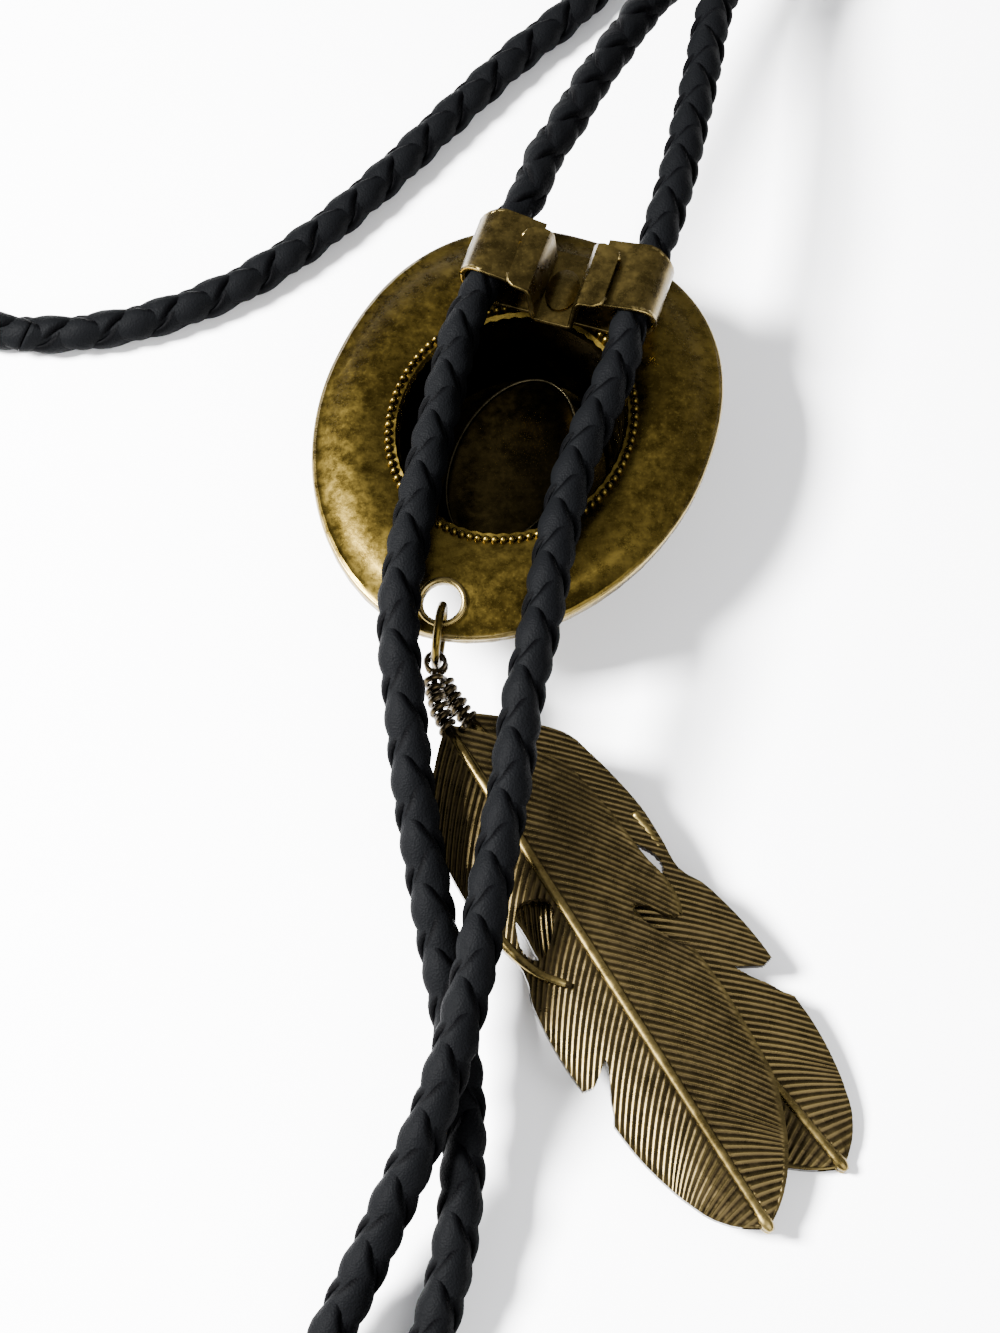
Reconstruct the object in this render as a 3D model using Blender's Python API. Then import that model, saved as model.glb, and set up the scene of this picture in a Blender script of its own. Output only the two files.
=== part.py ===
"""Bolo tie lying face down: a hat shaped slide, its clip, a braided cord and two feather drops.

The slide is a small western hat. Its crown stands on the surface and its hollow back looks up.
A sheet clip behind the brim grips the cord twice, once in each sleeve. The neck loop of the cord
runs from sleeve to sleeve, and two free ends cross below the hat and finish in tube tips.
Lengths are metres, +Z is up, and +Y runs from the feathers towards the neck loop.
"""
import math

import bmesh
import bpy
import numpy as np
from mathutils import Matrix, Vector

MM = 0.001
GAP = 0.3 * MM              # running gap that separate pieces keep

# Hat
HAT_TURN = math.radians(-20.5)    # how far the hat's front to back axis is turned from +Y
BRIM_WIDE = 44.1 * MM             # side to side, over the rim
BRIM_FRONT = 27.9 * MM            # from the hat's axis to the front of the rim
BRIM_BACK = 27.6 * MM             # from the hat's axis to the back of the rim
BRIM_WAIST = 1.2 * MM             # widest place of the brim, behind the axis
BRIM_ROUND = {"front": 1.88, "back": 2.35}   # power of each half's oval, 2 being an ellipse
BRIM_THICK = 1.0 * MM
BRIM_HEIGHT = 13.6 * MM           # middle of the brim's sheet above the surface, at the opening
BRIM_ARCH = 0.8 * MM              # the sheet bulges this much between opening and rim
BRIM_FALL = 1.6 * MM              # and the rim lies this much lower than the opening
OPENING_LONG = 32.0 * MM
OPENING_WIDE = 27.4 * MM
CROWN_WALL = 0.9 * MM
CROWN_LONG = 30.2 * MM            # crown's top, over its wall
CROWN_WIDE = 24.6 * MM
CROWN_FLANGE = 1.6 * MM           # lip that turns out under the brim
CREASE_LONG = 25.6 * MM           # dent in the crown's top, seen from within as a raised oval
CREASE_WIDE = 14.6 * MM
CREASE_DEPTH = 5.0 * MM
BEAD_COUNT = 56
BEAD_SIZE = 1.15 * MM             # beaded band in the corner between brim and crown

# Hole for the drops, near the brim's front
HOLE_SIZE = 4.3 * MM
HOLE_WALL = 1.6 * MM              # metal left between the hole and the rim
HOLE_SHIFT = 1.0 * MM             # the hole was made this much to one side
COLLAR_SIZE = 0.7 * MM            # raised rim round the hole

# Clip
CLIP_TURN = math.radians(-17.5)   # the clip was soldered a little askew to the hat
CLIP_LONG = 9.0 * MM
CLIP_WIDE = 23.2 * MM
CLIP_SHEET = 0.65 * MM
CLIP_MIDDLE = 18.4 * MM           # from the hat's axis to the clip's middle, towards the back
CLIP_SHIFT = 0.7 * MM             # and this much to one side
WING_DIP = 0.9 * MM               # each wing sinks this much from its crest to its inner edge
CHANNEL_LONG = 8.9 * MM
CHANNEL_MIDDLE = 16.9 * MM        # from the hat's axis to the channel's middle
CHANNEL_WIDE = 4.6 * MM           # floor between the channel's walls
CHANNEL_MOUTH = 6.9 * MM          # between the bends at the top
CHANNEL_FLANGE = 2.1 * MM
CHANNEL_SHEET = 0.65 * MM
BOSS_LONG = 6.2 * MM
BOSS_WIDE = 4.0 * MM
BOSS_HIGH = 0.8 * MM

# Cord
CORD_SIZE = 4.5 * MM
CORD_STEP = 1.8                   # distance between points of a cord's middle line, in cord sizes
GRIP = 0.9                        # share of the cord's size left inside a sleeve
TIP_LONG = 20.0 * MM
TIP_WALL = 0.6 * MM
TIP_BORE = 9.0 * MM

# Jump ring and feathers
RING_SIZE = 6.6 * MM              # across the middle of the wire
RING_WIRE = 1.0 * MM
RING_TURN = math.radians(-97.0)   # heading of the ring's plane from its hole
EYE_SIZE = 2.1 * MM               # across the middle of the eye's wire
EYE_WIRE = 0.5 * MM
STEM_SIZE = 0.7 * MM
STEM_BEND = 3.0 * MM              # length of straight stem before the first barb
FEATHER_LONG = 61.2 * MM          # quill along the vane
FEATHER_WIDE = 19.6 * MM
FEATHER_THICK = 0.8 * MM
QUILL_SIZE = 1.4 * MM
QUILL_LIFT = 0.4 * MM             # quill over the vane, on either face
BARB_PITCH = 2.1 * MM
BARB_DEEP = 0.14 * MM
BARB_LEAN = 0.84                  # barbs run this much along the quill for each length across it
BARB_BEND = 0.039 / MM            # and bend further along towards the vane's edge
BARB_FADE = 15.0 * MM             # length over which the barbs straighten towards the tip
WRAP_WIRE = 0.4 * MM
WRAP_TURNS = 6

# Places of the two feathers: where the eye sits on the ring, degrees, then the quill's first point,
# millimetres from the hat's axis and above the surface, then the quill's heading and slope, degrees
FEATHER_POSES = {
    "front": {"on_ring": 3.0, "base": (-7.075, -36.109, 10.37), "heading": -58.0, "slope": -7.2, "over": False},
    "back": {"on_ring": -37.0, "base": (-5.185, -33.791, 8.526), "heading": -50.9, "slope": -7.3, "over": True},
}

# Half outlines of a feather: share of its length, share of its width
VANE_CURL_SIDE = (
    (0.000, 0.170), (0.055, 0.215), (0.105, 0.310), (0.140, 0.375), (0.190, 0.402), (0.255, 0.420),
    (0.330, 0.421), (0.385, 0.396), (0.450, 0.366), (0.490, 0.412), (0.535, 0.433), (0.600, 0.445),
    (0.660, 0.436), (0.735, 0.395), (0.790, 0.378), (0.850, 0.338), (0.905, 0.280), (0.950, 0.208),
    (0.982, 0.110), (1.000, 0.022),
)
VANE_WIDE_SIDE = (
    (0.000, 0.150), (0.045, 0.255), (0.110, 0.412), (0.190, 0.459), (0.250, 0.490), (0.310, 0.511),
    (0.375, 0.525), (0.430, 0.556), (0.475, 0.545), (0.530, 0.470), (0.575, 0.480), (0.625, 0.488),
    (0.680, 0.484), (0.740, 0.474), (0.800, 0.456), (0.865, 0.384), (0.910, 0.313), (0.955, 0.206),
    (0.982, 0.110), (1.000, 0.022),
)
# Cuts through the vane, as shares of its length and width, negative on the curl side
CURL_HOLE = (
    (0.337, -0.185), (0.352, -0.060), (0.372, -0.050), (0.395, -0.085), (0.430, -0.190),
    (0.437, -0.262), (0.425, -0.305), (0.403, -0.312), (0.378, -0.285), (0.352, -0.240),
)
CURL_NOTCH = (
    (0.634, -0.245), (0.664, -0.372), (0.662, -0.520), (0.735, -0.520), (0.735, -0.392),
    (0.700, -0.340), (0.668, -0.285),
)
WIDE_NOTCH = (
    (0.435, 0.315), (0.450, 0.390), (0.474, 0.435), (0.490, 0.500), (0.500, 0.640), (0.560, 0.640),
    (0.552, 0.470), (0.505, 0.375), (0.480, 0.342), (0.455, 0.308),
)
# The long barb that curls back over the vane: share of length, share of width, lift in thicknesses
CURL_BARB = (
    (0.320, -0.375, 0.00), (0.372, -0.372, 0.10), (0.420, -0.345, 0.35), (0.462, -0.295, 0.80),
    (0.500, -0.205, 1.15),
)

# Brim section from the opening out to the rim and back under: share of the way, share of the sheet
BRIM_SECTION = (
    (0.000, 0.50), (0.160, 0.50), (0.340, 0.50), (0.540, 0.50), (0.730, 0.50), (0.900, 0.50),
    (0.950, 0.82), (0.984, 0.80), (1.000, 0.20), (0.992, -0.45), (0.940, -0.50), (0.500, -0.50),
    (0.000, -0.50),
)
# Crown wall: share of the height, share of the way from the top's outline to the opening's
CROWN_SECTION = ((0.93, 0.97), (0.55, 0.80), (0.22, 0.40), (0.07, 0.06))
# Crown's top: share of the crease's outline, share of the crease's depth
CREASE_SECTION = ((1.04, 0.00), (1.00, 0.10), (0.96, 0.60), (0.92, 0.93), (0.82, 1.00), (0.40, 0.95))
# Tube tip: share of the length, share of the outer size
TIP_SECTION = (
    (0.000, 0.97), (0.030, 1.00), (0.160, 1.00), (0.190, 0.90), (0.230, 0.90), (0.260, 1.00),
    (0.800, 0.92), (0.950, 0.78), (1.000, 0.40),
)

# Routes of the cord, millimetres from the hat's axis and above the surface
NECK_ROUTE = (
    (1.8, 27.9, 17.9), (3.5, 33.9, 17.6), (6.2, 39.1, 17.2), (9.2, 45.9, 16.6), (12.7, 52.6, 15.9),
    (16.3, 59.6, 14.9), (21.6, 67.9, 13.0), (27.4, 75.8, 10.4), (32.6, 84.2, 7.2), (35.6, 93.0, 4.3),
    (36.0, 102.0, 2.8), (34.4, 107.7, 2.3), (29.9, 111.3, 2.3), (23.9, 111.3, 2.3), (19.0, 107.7, 2.3),
    (17.2, 102.0, 2.3), (17.0, 93.4, 2.3), (15.8, 85.4, 2.3), (12.9, 77.4, 2.3), (7.8, 70.4, 2.3),
    (1.3, 63.8, 2.3), (-7.7, 53.2, 2.3), (-16.3, 42.7, 2.3), (-25.1, 33.4, 2.3), (-33.8, 26.6, 2.3),
    (-46.2, 21.3, 2.3), (-58.5, 20.2, 2.3), (-67.0, 23.0, 2.3), (-72.4, 31.4, 2.3), (-74.0, 46.0, 2.3),
    (-74.0, 74.0, 2.3), (-72.0, 99.0, 2.3), (-63.0, 120.0, 2.3), (-45.0, 133.0, 2.3),
    (-17.0, 137.8, 2.3), (13.0, 137.8, 2.3), (32.4, 133.0, 2.3), (43.4, 121.6, 2.3), (46.6, 107.4, 2.6),
    (44.2, 93.4, 4.4), (37.2, 80.0, 8.4), (29.6, 70.0, 12.2), (25.2, 60.4, 14.8), (22.9, 49.0, 16.2),
    (20.8, 38.8, 17.1), (18.9, 30.2, 17.7),
)
NECK_SPLIT = (-58.2, 20.2)        # where the neck loop's two stretches meet, mm
LEFT_END = (
    (-5.2, 11.3, 17.9), (-7.4, 1.4, 17.7), (-9.2, -7.4, 17.6), (-10.9, -16.9, 17.6), (-12.0, -24.8, 17.4),
    (-12.0, -29.3, 16.9), (-11.3, -35.6, 15.4), (-10.4, -43.9, 13.4), (-9.1, -51.9, 11.3),
    (-7.7, -59.4, 9.4), (-6.1, -67.8, 7.6), (-5.1, -74.9, 6.7), (-5.0, -82.9, 5.9), (-5.8, -90.4, 4.8),
    (-7.5, -97.2, 3.8),
)
RIGHT_END = (
    (12.5, 6.9, 17.9), (10.2, 0.4, 17.7), (7.1, -7.4, 17.6), (4.6, -18.1, 17.6), (2.9, -27.8, 17.4),
    (1.0, -36.2, 16.6), (-0.2, -44.7, 15.4), (-2.0, -54.1, 14.0), (-3.8, -64.0, 12.9), (-5.9, -72.4, 12.0),
    (-8.2, -79.1, 10.4), (-11.2, -85.7, 8.4), (-14.6, -92.8, 6.1), (-18.0, -99.4, 4.2),
)
TIP_CENTRE = 3.15 * MM            # a tip's axis above the surface
TIP_POINTS = {"left": (-9.6, -103.8), "right": (-21.0, -105.2)}    # where the cord enters, mm
TIP_TURNS = {"left": -109.0, "right": -117.0}                      # heading of a tip, degrees


def bronze(name, colour, roughness):
    """Metal with the part's own colour."""
    material = bpy.data.materials.new(name)
    material.use_nodes = True
    shader = material.node_tree.nodes["Principled BSDF"]
    shader.inputs["Base Color"].default_value = (*colour, 1.0)
    shader.inputs["Metallic"].default_value = 1.0
    shader.inputs["Roughness"].default_value = roughness
    return material


def braid_black(name):
    """Matt black leather."""
    material = bpy.data.materials.new(name)
    material.use_nodes = True
    shader = material.node_tree.nodes["Principled BSDF"]
    shader.inputs["Base Color"].default_value = (0.017, 0.018, 0.020, 1.0)
    shader.inputs["Roughness"].default_value = 0.55
    return material


def hat_frame(across, along, turn=HAT_TURN):
    """World X and Y of a place on the hat, or on a frame with another turn, from the hat's axis."""
    cos, sin = math.cos(turn), math.sin(turn)
    return across * cos - along * sin, across * sin + along * cos


def brim_level(share):
    """Height of the middle of the brim's sheet at a share of the way from opening to rim."""
    return BRIM_HEIGHT + BRIM_ARCH * 4 * share * (1 - share) - BRIM_FALL * share * share


def front_share(along):
    """Share of the way from opening to rim at a place on the brim's front, along the hat's axis."""
    return (-along - OPENING_LONG / 2) / (BRIM_FRONT - OPENING_LONG / 2)


def oval(wide, long, steps):
    """Points round an ellipse, as arrays of places across and along the hat."""
    turn = np.linspace(0, 2 * np.pi, steps, endpoint=False)
    return wide / 2 * np.cos(turn), long / 2 * np.sin(turn)


def rim_outline(steps):
    """Points round the rim: two half ovals of different length and fullness, joined at the waist."""
    turn = np.linspace(0, 2 * np.pi, steps, endpoint=False)
    cos, sin = np.cos(turn), np.sin(turn)
    power = np.where(sin < 0, 2 / BRIM_ROUND["front"], 2 / BRIM_ROUND["back"])
    reach = np.where(sin < 0, BRIM_FRONT + BRIM_WAIST, BRIM_BACK - BRIM_WAIST)
    across = BRIM_WIDE / 2 * np.sign(cos) * np.abs(cos) ** power
    return across, BRIM_WAIST + reach * np.sign(sin) * np.abs(sin) ** power


def ring_of(across, along, height):
    """One closed ring of world points."""
    x, y = hat_frame(across, along)
    return np.stack([x, y, np.broadcast_to(height, np.shape(x))], axis=1)


def skin(rings, closed=False, poles=(False, False)):
    """Faces between rings of equal count: a closed sweep, or one with its ends capped."""
    rings = np.asarray(rings)
    rows, count = rings.shape[:2]
    verts = rings.reshape(-1, 3)
    faces = []
    for row in range(rows if closed else rows - 1):
        low = row * count
        high = (row + 1) % rows * count
        for i in range(count):
            j = (i + 1) % count
            faces.append((low + i, low + j, high + j, high + i))
    if not closed:
        for end, first in ((0, 0), (1, (rows - 1) * count)):
            loop = list(range(first, first + count))
            if poles[end]:
                verts = np.vstack([verts, rings[-end].mean(axis=0)])
                hub = len(verts) - 1
                faces += [(loop[i], loop[(i + 1) % count], hub) for i in range(count)]
            else:
                faces.append(tuple(loop))
    return verts, faces


def add_piece(name, verts, faces, material, parent, sharp=35.0):
    """A closed mesh as an object, its faces pointing out and its round sides shaded smooth."""
    mesh = bpy.data.meshes.new(name)
    mesh.from_pydata([tuple(map(float, v)) for v in verts], [], faces)
    shape = bmesh.new()
    shape.from_mesh(mesh)
    bmesh.ops.recalc_face_normals(shape, faces=shape.faces)
    bmesh.ops.triangulate(shape, faces=shape.faces)
    shape.to_mesh(mesh)
    shape.free()
    mesh.shade_smooth()
    mesh.set_sharp_from_angle(angle=math.radians(sharp))
    mesh.materials.append(material)
    piece = bpy.data.objects.new(name, mesh)
    bpy.context.scene.collection.objects.link(piece)
    piece.parent = parent
    return piece


def combine(piece, other, operation):
    """Join or cut a piece with a helper that isn't a part of the model itself."""
    other.hide_render = True
    other.display_type = "WIRE"
    change = piece.modifiers.new(other.name, "BOOLEAN")
    change.operation = operation
    change.solver = "EXACT"
    change.object = other


def frames_along(path):
    """Side and up directions along a path, carried from point to point without twist."""
    path = np.asarray(path)
    ahead = np.gradient(path, axis=0)
    ahead /= np.linalg.norm(ahead, axis=1, keepdims=True)
    start = np.cross((0, 0, 1), ahead[0])
    if np.linalg.norm(start) < 0.1:
        start = np.cross((0, 1, 0), ahead[0])
    side = start / np.linalg.norm(start)
    sides = []
    for heading in ahead:
        side = side - heading * side.dot(heading)
        side /= np.linalg.norm(side)
        sides.append(side)
    sides = np.array(sides)
    return sides, np.cross(ahead, sides)


def tube(path, radius, sides, closed=False):
    """Round tube along a path, its radius one number or one for each point."""
    path = np.asarray(path)
    if closed:
        across, up = frames_along(np.vstack([path, path[:1]]))
        across, up = across[:-1], up[:-1]
    else:
        across, up = frames_along(path)
    turn = np.linspace(0, 2 * np.pi, sides, endpoint=False)
    radius = np.broadcast_to(radius, len(path))[:, None, None]
    circle = (across[:, None] * np.cos(turn)[None, :, None]
              + up[:, None] * np.sin(turn)[None, :, None])
    return skin(path[:, None] + radius * circle, closed=closed)


def wire_ring(centre, radius, wire, first, second, steps, sides):
    """Closed round wire in the plane of two directions."""
    turn = np.linspace(0, 2 * np.pi, steps, endpoint=False)[:, None]
    out = np.cos(turn) * np.asarray(first) + np.sin(turn) * np.asarray(second)
    axis = np.cross(first, second)
    part = np.linspace(0, 2 * np.pi, sides, endpoint=False)[None, :, None]
    middle = np.asarray(centre) + radius * out
    rings = middle[:, None] + wire / 2 * (np.cos(part) * out[:, None] + np.sin(part) * axis)
    return skin(rings, closed=True)


def smooth_route(points, spacing):
    """Even points on a centripetal Catmull-Rom curve through the route's own points."""
    points = np.asarray(points, dtype=float)
    points = np.vstack([2 * points[0] - points[1], points, 2 * points[-1] - points[-2]])
    fine = []
    for p0, p1, p2, p3 in zip(points, points[1:], points[2:], points[3:]):
        t1 = np.linalg.norm(p1 - p0) ** 0.5
        t2 = t1 + np.linalg.norm(p2 - p1) ** 0.5
        t3 = t2 + np.linalg.norm(p3 - p2) ** 0.5
        t = np.linspace(t1, t2, 24, endpoint=False)[:, None]
        a1 = (t1 - t) / t1 * p0 + t / t1 * p1
        a2 = (t2 - t) / (t2 - t1) * p1 + (t - t1) / (t2 - t1) * p2
        a3 = (t3 - t) / (t3 - t2) * p2 + (t - t2) / (t3 - t2) * p3
        b1 = (t2 - t) / t2 * a1 + t / t2 * a2
        b2 = (t3 - t) / (t3 - t1) * a2 + (t - t1) / (t3 - t1) * a3
        fine.append((t2 - t) / (t2 - t1) * b1 + (t - t1) / (t2 - t1) * b2)
    fine = np.vstack([*fine, points[-2:-1]])
    along = np.concatenate([[0], np.cumsum(np.linalg.norm(np.diff(fine, axis=0), axis=1))])
    steps = max(2, round(along[-1] / spacing))
    places = np.linspace(0, along[-1], steps + 1)
    return np.stack([np.interp(places, along, fine[:, k]) for k in range(3)], axis=1)


def read_curve(rows, column, at):
    """A column of a table, read as a smooth curve over the table's first column."""
    table = np.asarray(rows, dtype=float)
    x, y = table[:, 0], table[:, column]
    slope = np.gradient(y, x)
    i = np.clip(np.searchsorted(x, at) - 1, 0, len(x) - 2)
    step = x[i + 1] - x[i]
    u = np.clip((at - x[i]) / step, 0, 1)
    return (y[i] * (1 + 2 * u) * (1 - u) ** 2 + y[i + 1] * u * u * (3 - 2 * u)
            + step * slope[i] * u * (1 - u) ** 2 - step * slope[i + 1] * u * u * (1 - u))


def hole_place():
    """Where the hole for the drops goes through the brim: place, level of the sheet and its slope."""
    along = -(BRIM_FRONT - HOLE_WALL - HOLE_SIZE / 2)
    share = front_share(along)
    step = 0.01
    slope = (brim_level(share + step) - brim_level(share - step)) / (2 * step)
    slope /= BRIM_FRONT - OPENING_LONG / 2
    return along, brim_level(share), slope


def hat_brim(metal, parent):
    """Arched oval sheet with a thick bright rim, cut for the crown's opening and the drops' hole."""
    steps = 52
    inner = oval(OPENING_WIDE, OPENING_LONG, steps)
    outer = rim_outline(steps)
    rings = []
    for share, lift in BRIM_SECTION:
        across = inner[0] + (outer[0] - inner[0]) * share
        along = inner[1] + (outer[1] - inner[1]) * share
        rings.append(ring_of(across, along, brim_level(share) + lift * BRIM_THICK))
    brim = add_piece("hat_brim", *skin(rings, closed=True), metal, parent)
    along, level, slope = hole_place()
    front = Vector((*hat_frame(0, -1), slope)).normalized()
    side = Vector((*hat_frame(1, 0), 0))
    normal = side.cross(front)
    normal = normal if normal.z > 0 else -normal
    middle = Vector((*hat_frame(HOLE_SHIFT, along), level))
    collar = add_piece("collar_guide", *wire_ring(
        middle + normal * BRIM_THICK * 0.35, HOLE_SIZE / 2 + COLLAR_SIZE * 0.3, COLLAR_SIZE,
        side, front, 20, 6), metal, parent)
    turn = np.linspace(0, 2 * np.pi, 20, endpoint=False)[:, None]
    circle = np.array(middle) + HOLE_SIZE / 2 * (np.cos(turn) * np.array(side) + np.sin(turn) * np.array(front))
    drill = add_piece("hole_cutter", *skin(
        [circle + np.array(normal) * reach * 4 * BRIM_THICK for reach in (-1, 1)]), metal, parent)
    combine(brim, collar, "UNION")
    combine(brim, drill, "DIFFERENCE")
    return brim


def lip_height():
    """Top of the crown's lip: flat, just under the edge of the brim's opening."""
    return brim_level(0) - BRIM_THICK / 2 - GAP


def hat_crown(metal, parent):
    """Hollow crown: a wall that tapers to its creased top, and a lip turned out under the brim."""
    steps = 36
    ledge = BEAD_SIZE + GAP
    mouth = oval(OPENING_WIDE - 2 * ledge, OPENING_LONG - 2 * ledge, steps)
    top = oval(CROWN_WIDE - 2 * CROWN_WALL, CROWN_LONG - 2 * CROWN_WALL, steps)
    crease = oval(CREASE_WIDE, CREASE_LONG, steps)
    lip = lip_height()

    def grown(outline, extra):
        """An outline moved outwards by a length."""
        long = np.hypot(*outline)
        return outline[0] * (1 + extra / long), outline[1] * (1 + extra / long)

    def wall_rows(extra, base):
        """Rings of one side of the wall, from the top of the crown to just under the lip."""
        rows = []
        for share, spread in reversed(CROWN_SECTION):
            ring = [a + (b - a) * spread for a, b in zip(top, mouth)]
            ring = grown(ring, extra)
            rows.append(ring_of(*ring, base + (lip - base) * share))
        return rows

    def crease_rows(base, extra):
        """Rings of one side of the creased top, from its middle outwards."""
        rows = []
        for share, depth in reversed(CREASE_SECTION):
            ring = grown([side * share for side in crease], extra)
            rows.append(ring_of(*ring, base + CREASE_DEPTH * depth))
        return rows

    corner = CROWN_WALL * 0.9
    inside = crease_rows(CROWN_WALL, 0)
    inside.append(ring_of(*grown(top, -corner), CROWN_WALL))
    inside += wall_rows(0, CROWN_WALL)
    inside.append(ring_of(*mouth, lip))
    flange = grown(mouth, CROWN_WALL + CROWN_FLANGE)
    under = grown(mouth, CROWN_WALL)
    rim = [ring_of(*flange, lip), ring_of(*flange, lip - CROWN_WALL), ring_of(*under, lip - CROWN_WALL)]
    outside = wall_rows(CROWN_WALL, 0)[::-1]
    outside.append(ring_of(*grown(top, CROWN_WALL - corner), 0))
    outside += crease_rows(0, -CROWN_WALL * 0.6)[::-1]
    rings = inside + rim + outside
    return add_piece("hat_crown", *skin(rings, poles=(True, True)), metal, parent)


def hat_band(metal, parent):
    """Beaded band that sits on the crown's lip, inside the edge of the brim's opening."""
    stations = BEAD_COUNT * 2
    inset = BEAD_SIZE / 2 + GAP
    across, along = oval(OPENING_WIDE - 2 * inset, OPENING_LONG - 2 * inset, stations)
    middle = ring_of(across, along, lip_height() + GAP + BEAD_SIZE / 2)
    bead = np.where(np.arange(stations) % 2 == 0, 1.0, 0.66) * BEAD_SIZE / 2
    return add_piece("hat_band", *tube(middle, bead, 5, closed=True), metal, parent, sharp=80.0)


def clip_base():
    """Underside of the clip: just over the crest of the brim's arch."""
    crest = BRIM_ARCH * 2 / (BRIM_ARCH * 4 + BRIM_FALL)
    return brim_level(crest) + BRIM_THICK / 2 + GAP


def sleeve_inside():
    """Height within a sleeve: the gripped cord and a gap on each side."""
    return CORD_SIZE * GRIP + 2 * GAP


def sleeve_axis(side):
    """Place across the clip and height of the cord in one sleeve, side -1 or 1."""
    across = CLIP_SHIFT + side * (CLIP_WIDE / 2 - CLIP_SHEET - sleeve_inside() / 2)
    return across, clip_base() + CLIP_SHEET + sleeve_inside() / 2


def sheet_strip(centre, sheet, lengths):
    """Bent sheet: a middle line across the clip, its thickness, and its two ends along the clip."""
    centre = np.asarray(centre)
    ahead = np.gradient(centre, axis=0)
    ahead /= np.linalg.norm(ahead, axis=1, keepdims=True)
    out = np.column_stack([-ahead[:, 1], ahead[:, 0]]) * sheet / 2
    near, far = lengths
    rings = []
    for k, (place, off) in enumerate(zip(centre, out)):
        ring = []
        for face, end in ((1, near[k]), (1, far[k]), (-1, far[k]), (-1, near[k])):
            across, height = place + face * off
            ring.append((*hat_frame(across, end, CLIP_TURN), height))
        rings.append(ring)
    return skin(np.array(rings))


def arc(centre, radius, start, stop, steps):
    """Points on an arc across the clip, angles in degrees."""
    turn = np.radians(np.linspace(start, stop, steps))
    return [(centre[0] + radius * math.cos(a), centre[1] + radius * math.sin(a)) for a in turn]


def clip_plate(metal, parent):
    """Base of the clip, whose two wings wrap up and over the cord as sleeves."""
    left, height = sleeve_axis(-1)
    right, _ = sleeve_axis(1)
    bend = (sleeve_inside() + CLIP_SHEET) / 2
    reach = CHANNEL_MOUTH / 2 + GAP
    top = height + bend
    middle_left = (left + CLIP_SHIFT - reach) / 2
    middle_right = (right + CLIP_SHIFT + reach) / 2
    line = [(CLIP_SHIFT - reach, top - WING_DIP), (middle_left, top - WING_DIP * 0.5)]
    line += arc((left, height), bend, 90, 270, 11)
    line += [(CLIP_SHIFT - CHANNEL_WIDE / 2, height - bend), (CLIP_SHIFT + CHANNEL_WIDE / 2, height - bend)]
    line += arc((right, height), bend, -90, 90, 11)
    line += [(middle_right, top - WING_DIP * 0.5), (CLIP_SHIFT + reach, top - WING_DIP)]
    line = np.array(line)
    outward = np.abs(line[:, 0] - CLIP_SHIFT) / (CLIP_WIDE / 2)
    trim = 0.9 * MM * np.clip(outward - 0.78, 0, 1) / 0.22
    near = CLIP_MIDDLE - CLIP_LONG / 2 + trim
    far = CLIP_MIDDLE + CLIP_LONG / 2 - trim
    return add_piece("clip_plate", *sheet_strip(line, CLIP_SHEET, (near, far)), metal, parent)


def clip_channel(metal, parent):
    """Channel between the sleeves: floor with a raised boss, walls, and flanges over the wings."""
    floor = clip_base() + CLIP_SHEET + GAP + CHANNEL_SHEET / 2
    _, height = sleeve_axis(1)
    wing = height + (sleeve_inside() + CLIP_SHEET) / 2 + CLIP_SHEET / 2
    crest = wing - WING_DIP * 0.55 + GAP + CHANNEL_SHEET / 2
    foot, mouth = CHANNEL_WIDE / 2, CHANNEL_MOUTH / 2 - CHANNEL_SHEET
    tip = CHANNEL_MOUTH / 2 + CHANNEL_FLANGE
    round_off = 0.9 * MM
    half = [(0.0, floor), (foot - 0.5 * MM, floor), (foot - 0.1 * MM, floor + 0.25 * MM),
            (mouth - 0.1 * MM, crest - 0.7 * MM), (mouth + 0.25 * MM, crest - 0.15 * MM),
            (mouth + 0.7 * MM, crest), (tip - round_off, crest), (tip - round_off * 0.3, crest), (tip, crest)]
    cut = [0, 0, 0, 0, 0.1 * MM, 0.1 * MM, 0.25 * MM, 0.7 * MM, 1.5 * MM]
    line = [(CLIP_SHIFT - a, z) for a, z in half[::-1]] + [(CLIP_SHIFT + a, z) for a, z in half[1:]]
    trim = np.array(cut[::-1] + cut[1:])
    near = CHANNEL_MIDDLE - CHANNEL_LONG / 2 + trim
    far = CHANNEL_MIDDLE + CHANNEL_LONG / 2 - trim
    channel = add_piece("clip_channel", *sheet_strip(line, CHANNEL_SHEET, (near, far)), metal, parent)
    rings = []
    for rise in (-0.3, 0.35, 0.75, 0.97):
        size = math.sqrt(1 - rise * rise)
        across, along = oval(BOSS_WIDE * size, BOSS_LONG * size, 14)
        level = floor + CHANNEL_SHEET / 2 + rise * BOSS_HIGH
        x, y = hat_frame(across + CLIP_SHIFT, along + CHANNEL_MIDDLE, CLIP_TURN)
        rings.append(np.column_stack([x, y, np.full(len(x), level)]))
    boss = add_piece("boss_guide", *skin(rings), metal, parent)
    combine(channel, boss, "UNION")
    return channel


def ring_frame():
    """Centre of the jump ring's circle, and its outward direction."""
    along, level, slope = hole_place()
    hole = Vector((*hat_frame(HOLE_SHIFT, along), 0))
    out = Vector((math.cos(RING_TURN), math.sin(RING_TURN), 0))
    reach = RING_SIZE / 2 - 0.6 * MM
    strip = level + slope * HOLE_SIZE / 2 + BRIM_THICK / 2 + COLLAR_SIZE * 0.35
    height = strip + GAP + RING_WIRE / 2 - RING_SIZE / 2
    return hole + out * reach + Vector((0, 0, height)), out


def jump_ring(metal, parent):
    """Round wire ring through the brim's hole, which carries both feathers."""
    centre, out = ring_frame()
    verts, faces = wire_ring(centre, RING_SIZE / 2, RING_WIRE, out, (0, 0, 1), 28, 8)
    return add_piece("jump_ring", verts, faces, metal, parent)


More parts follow.
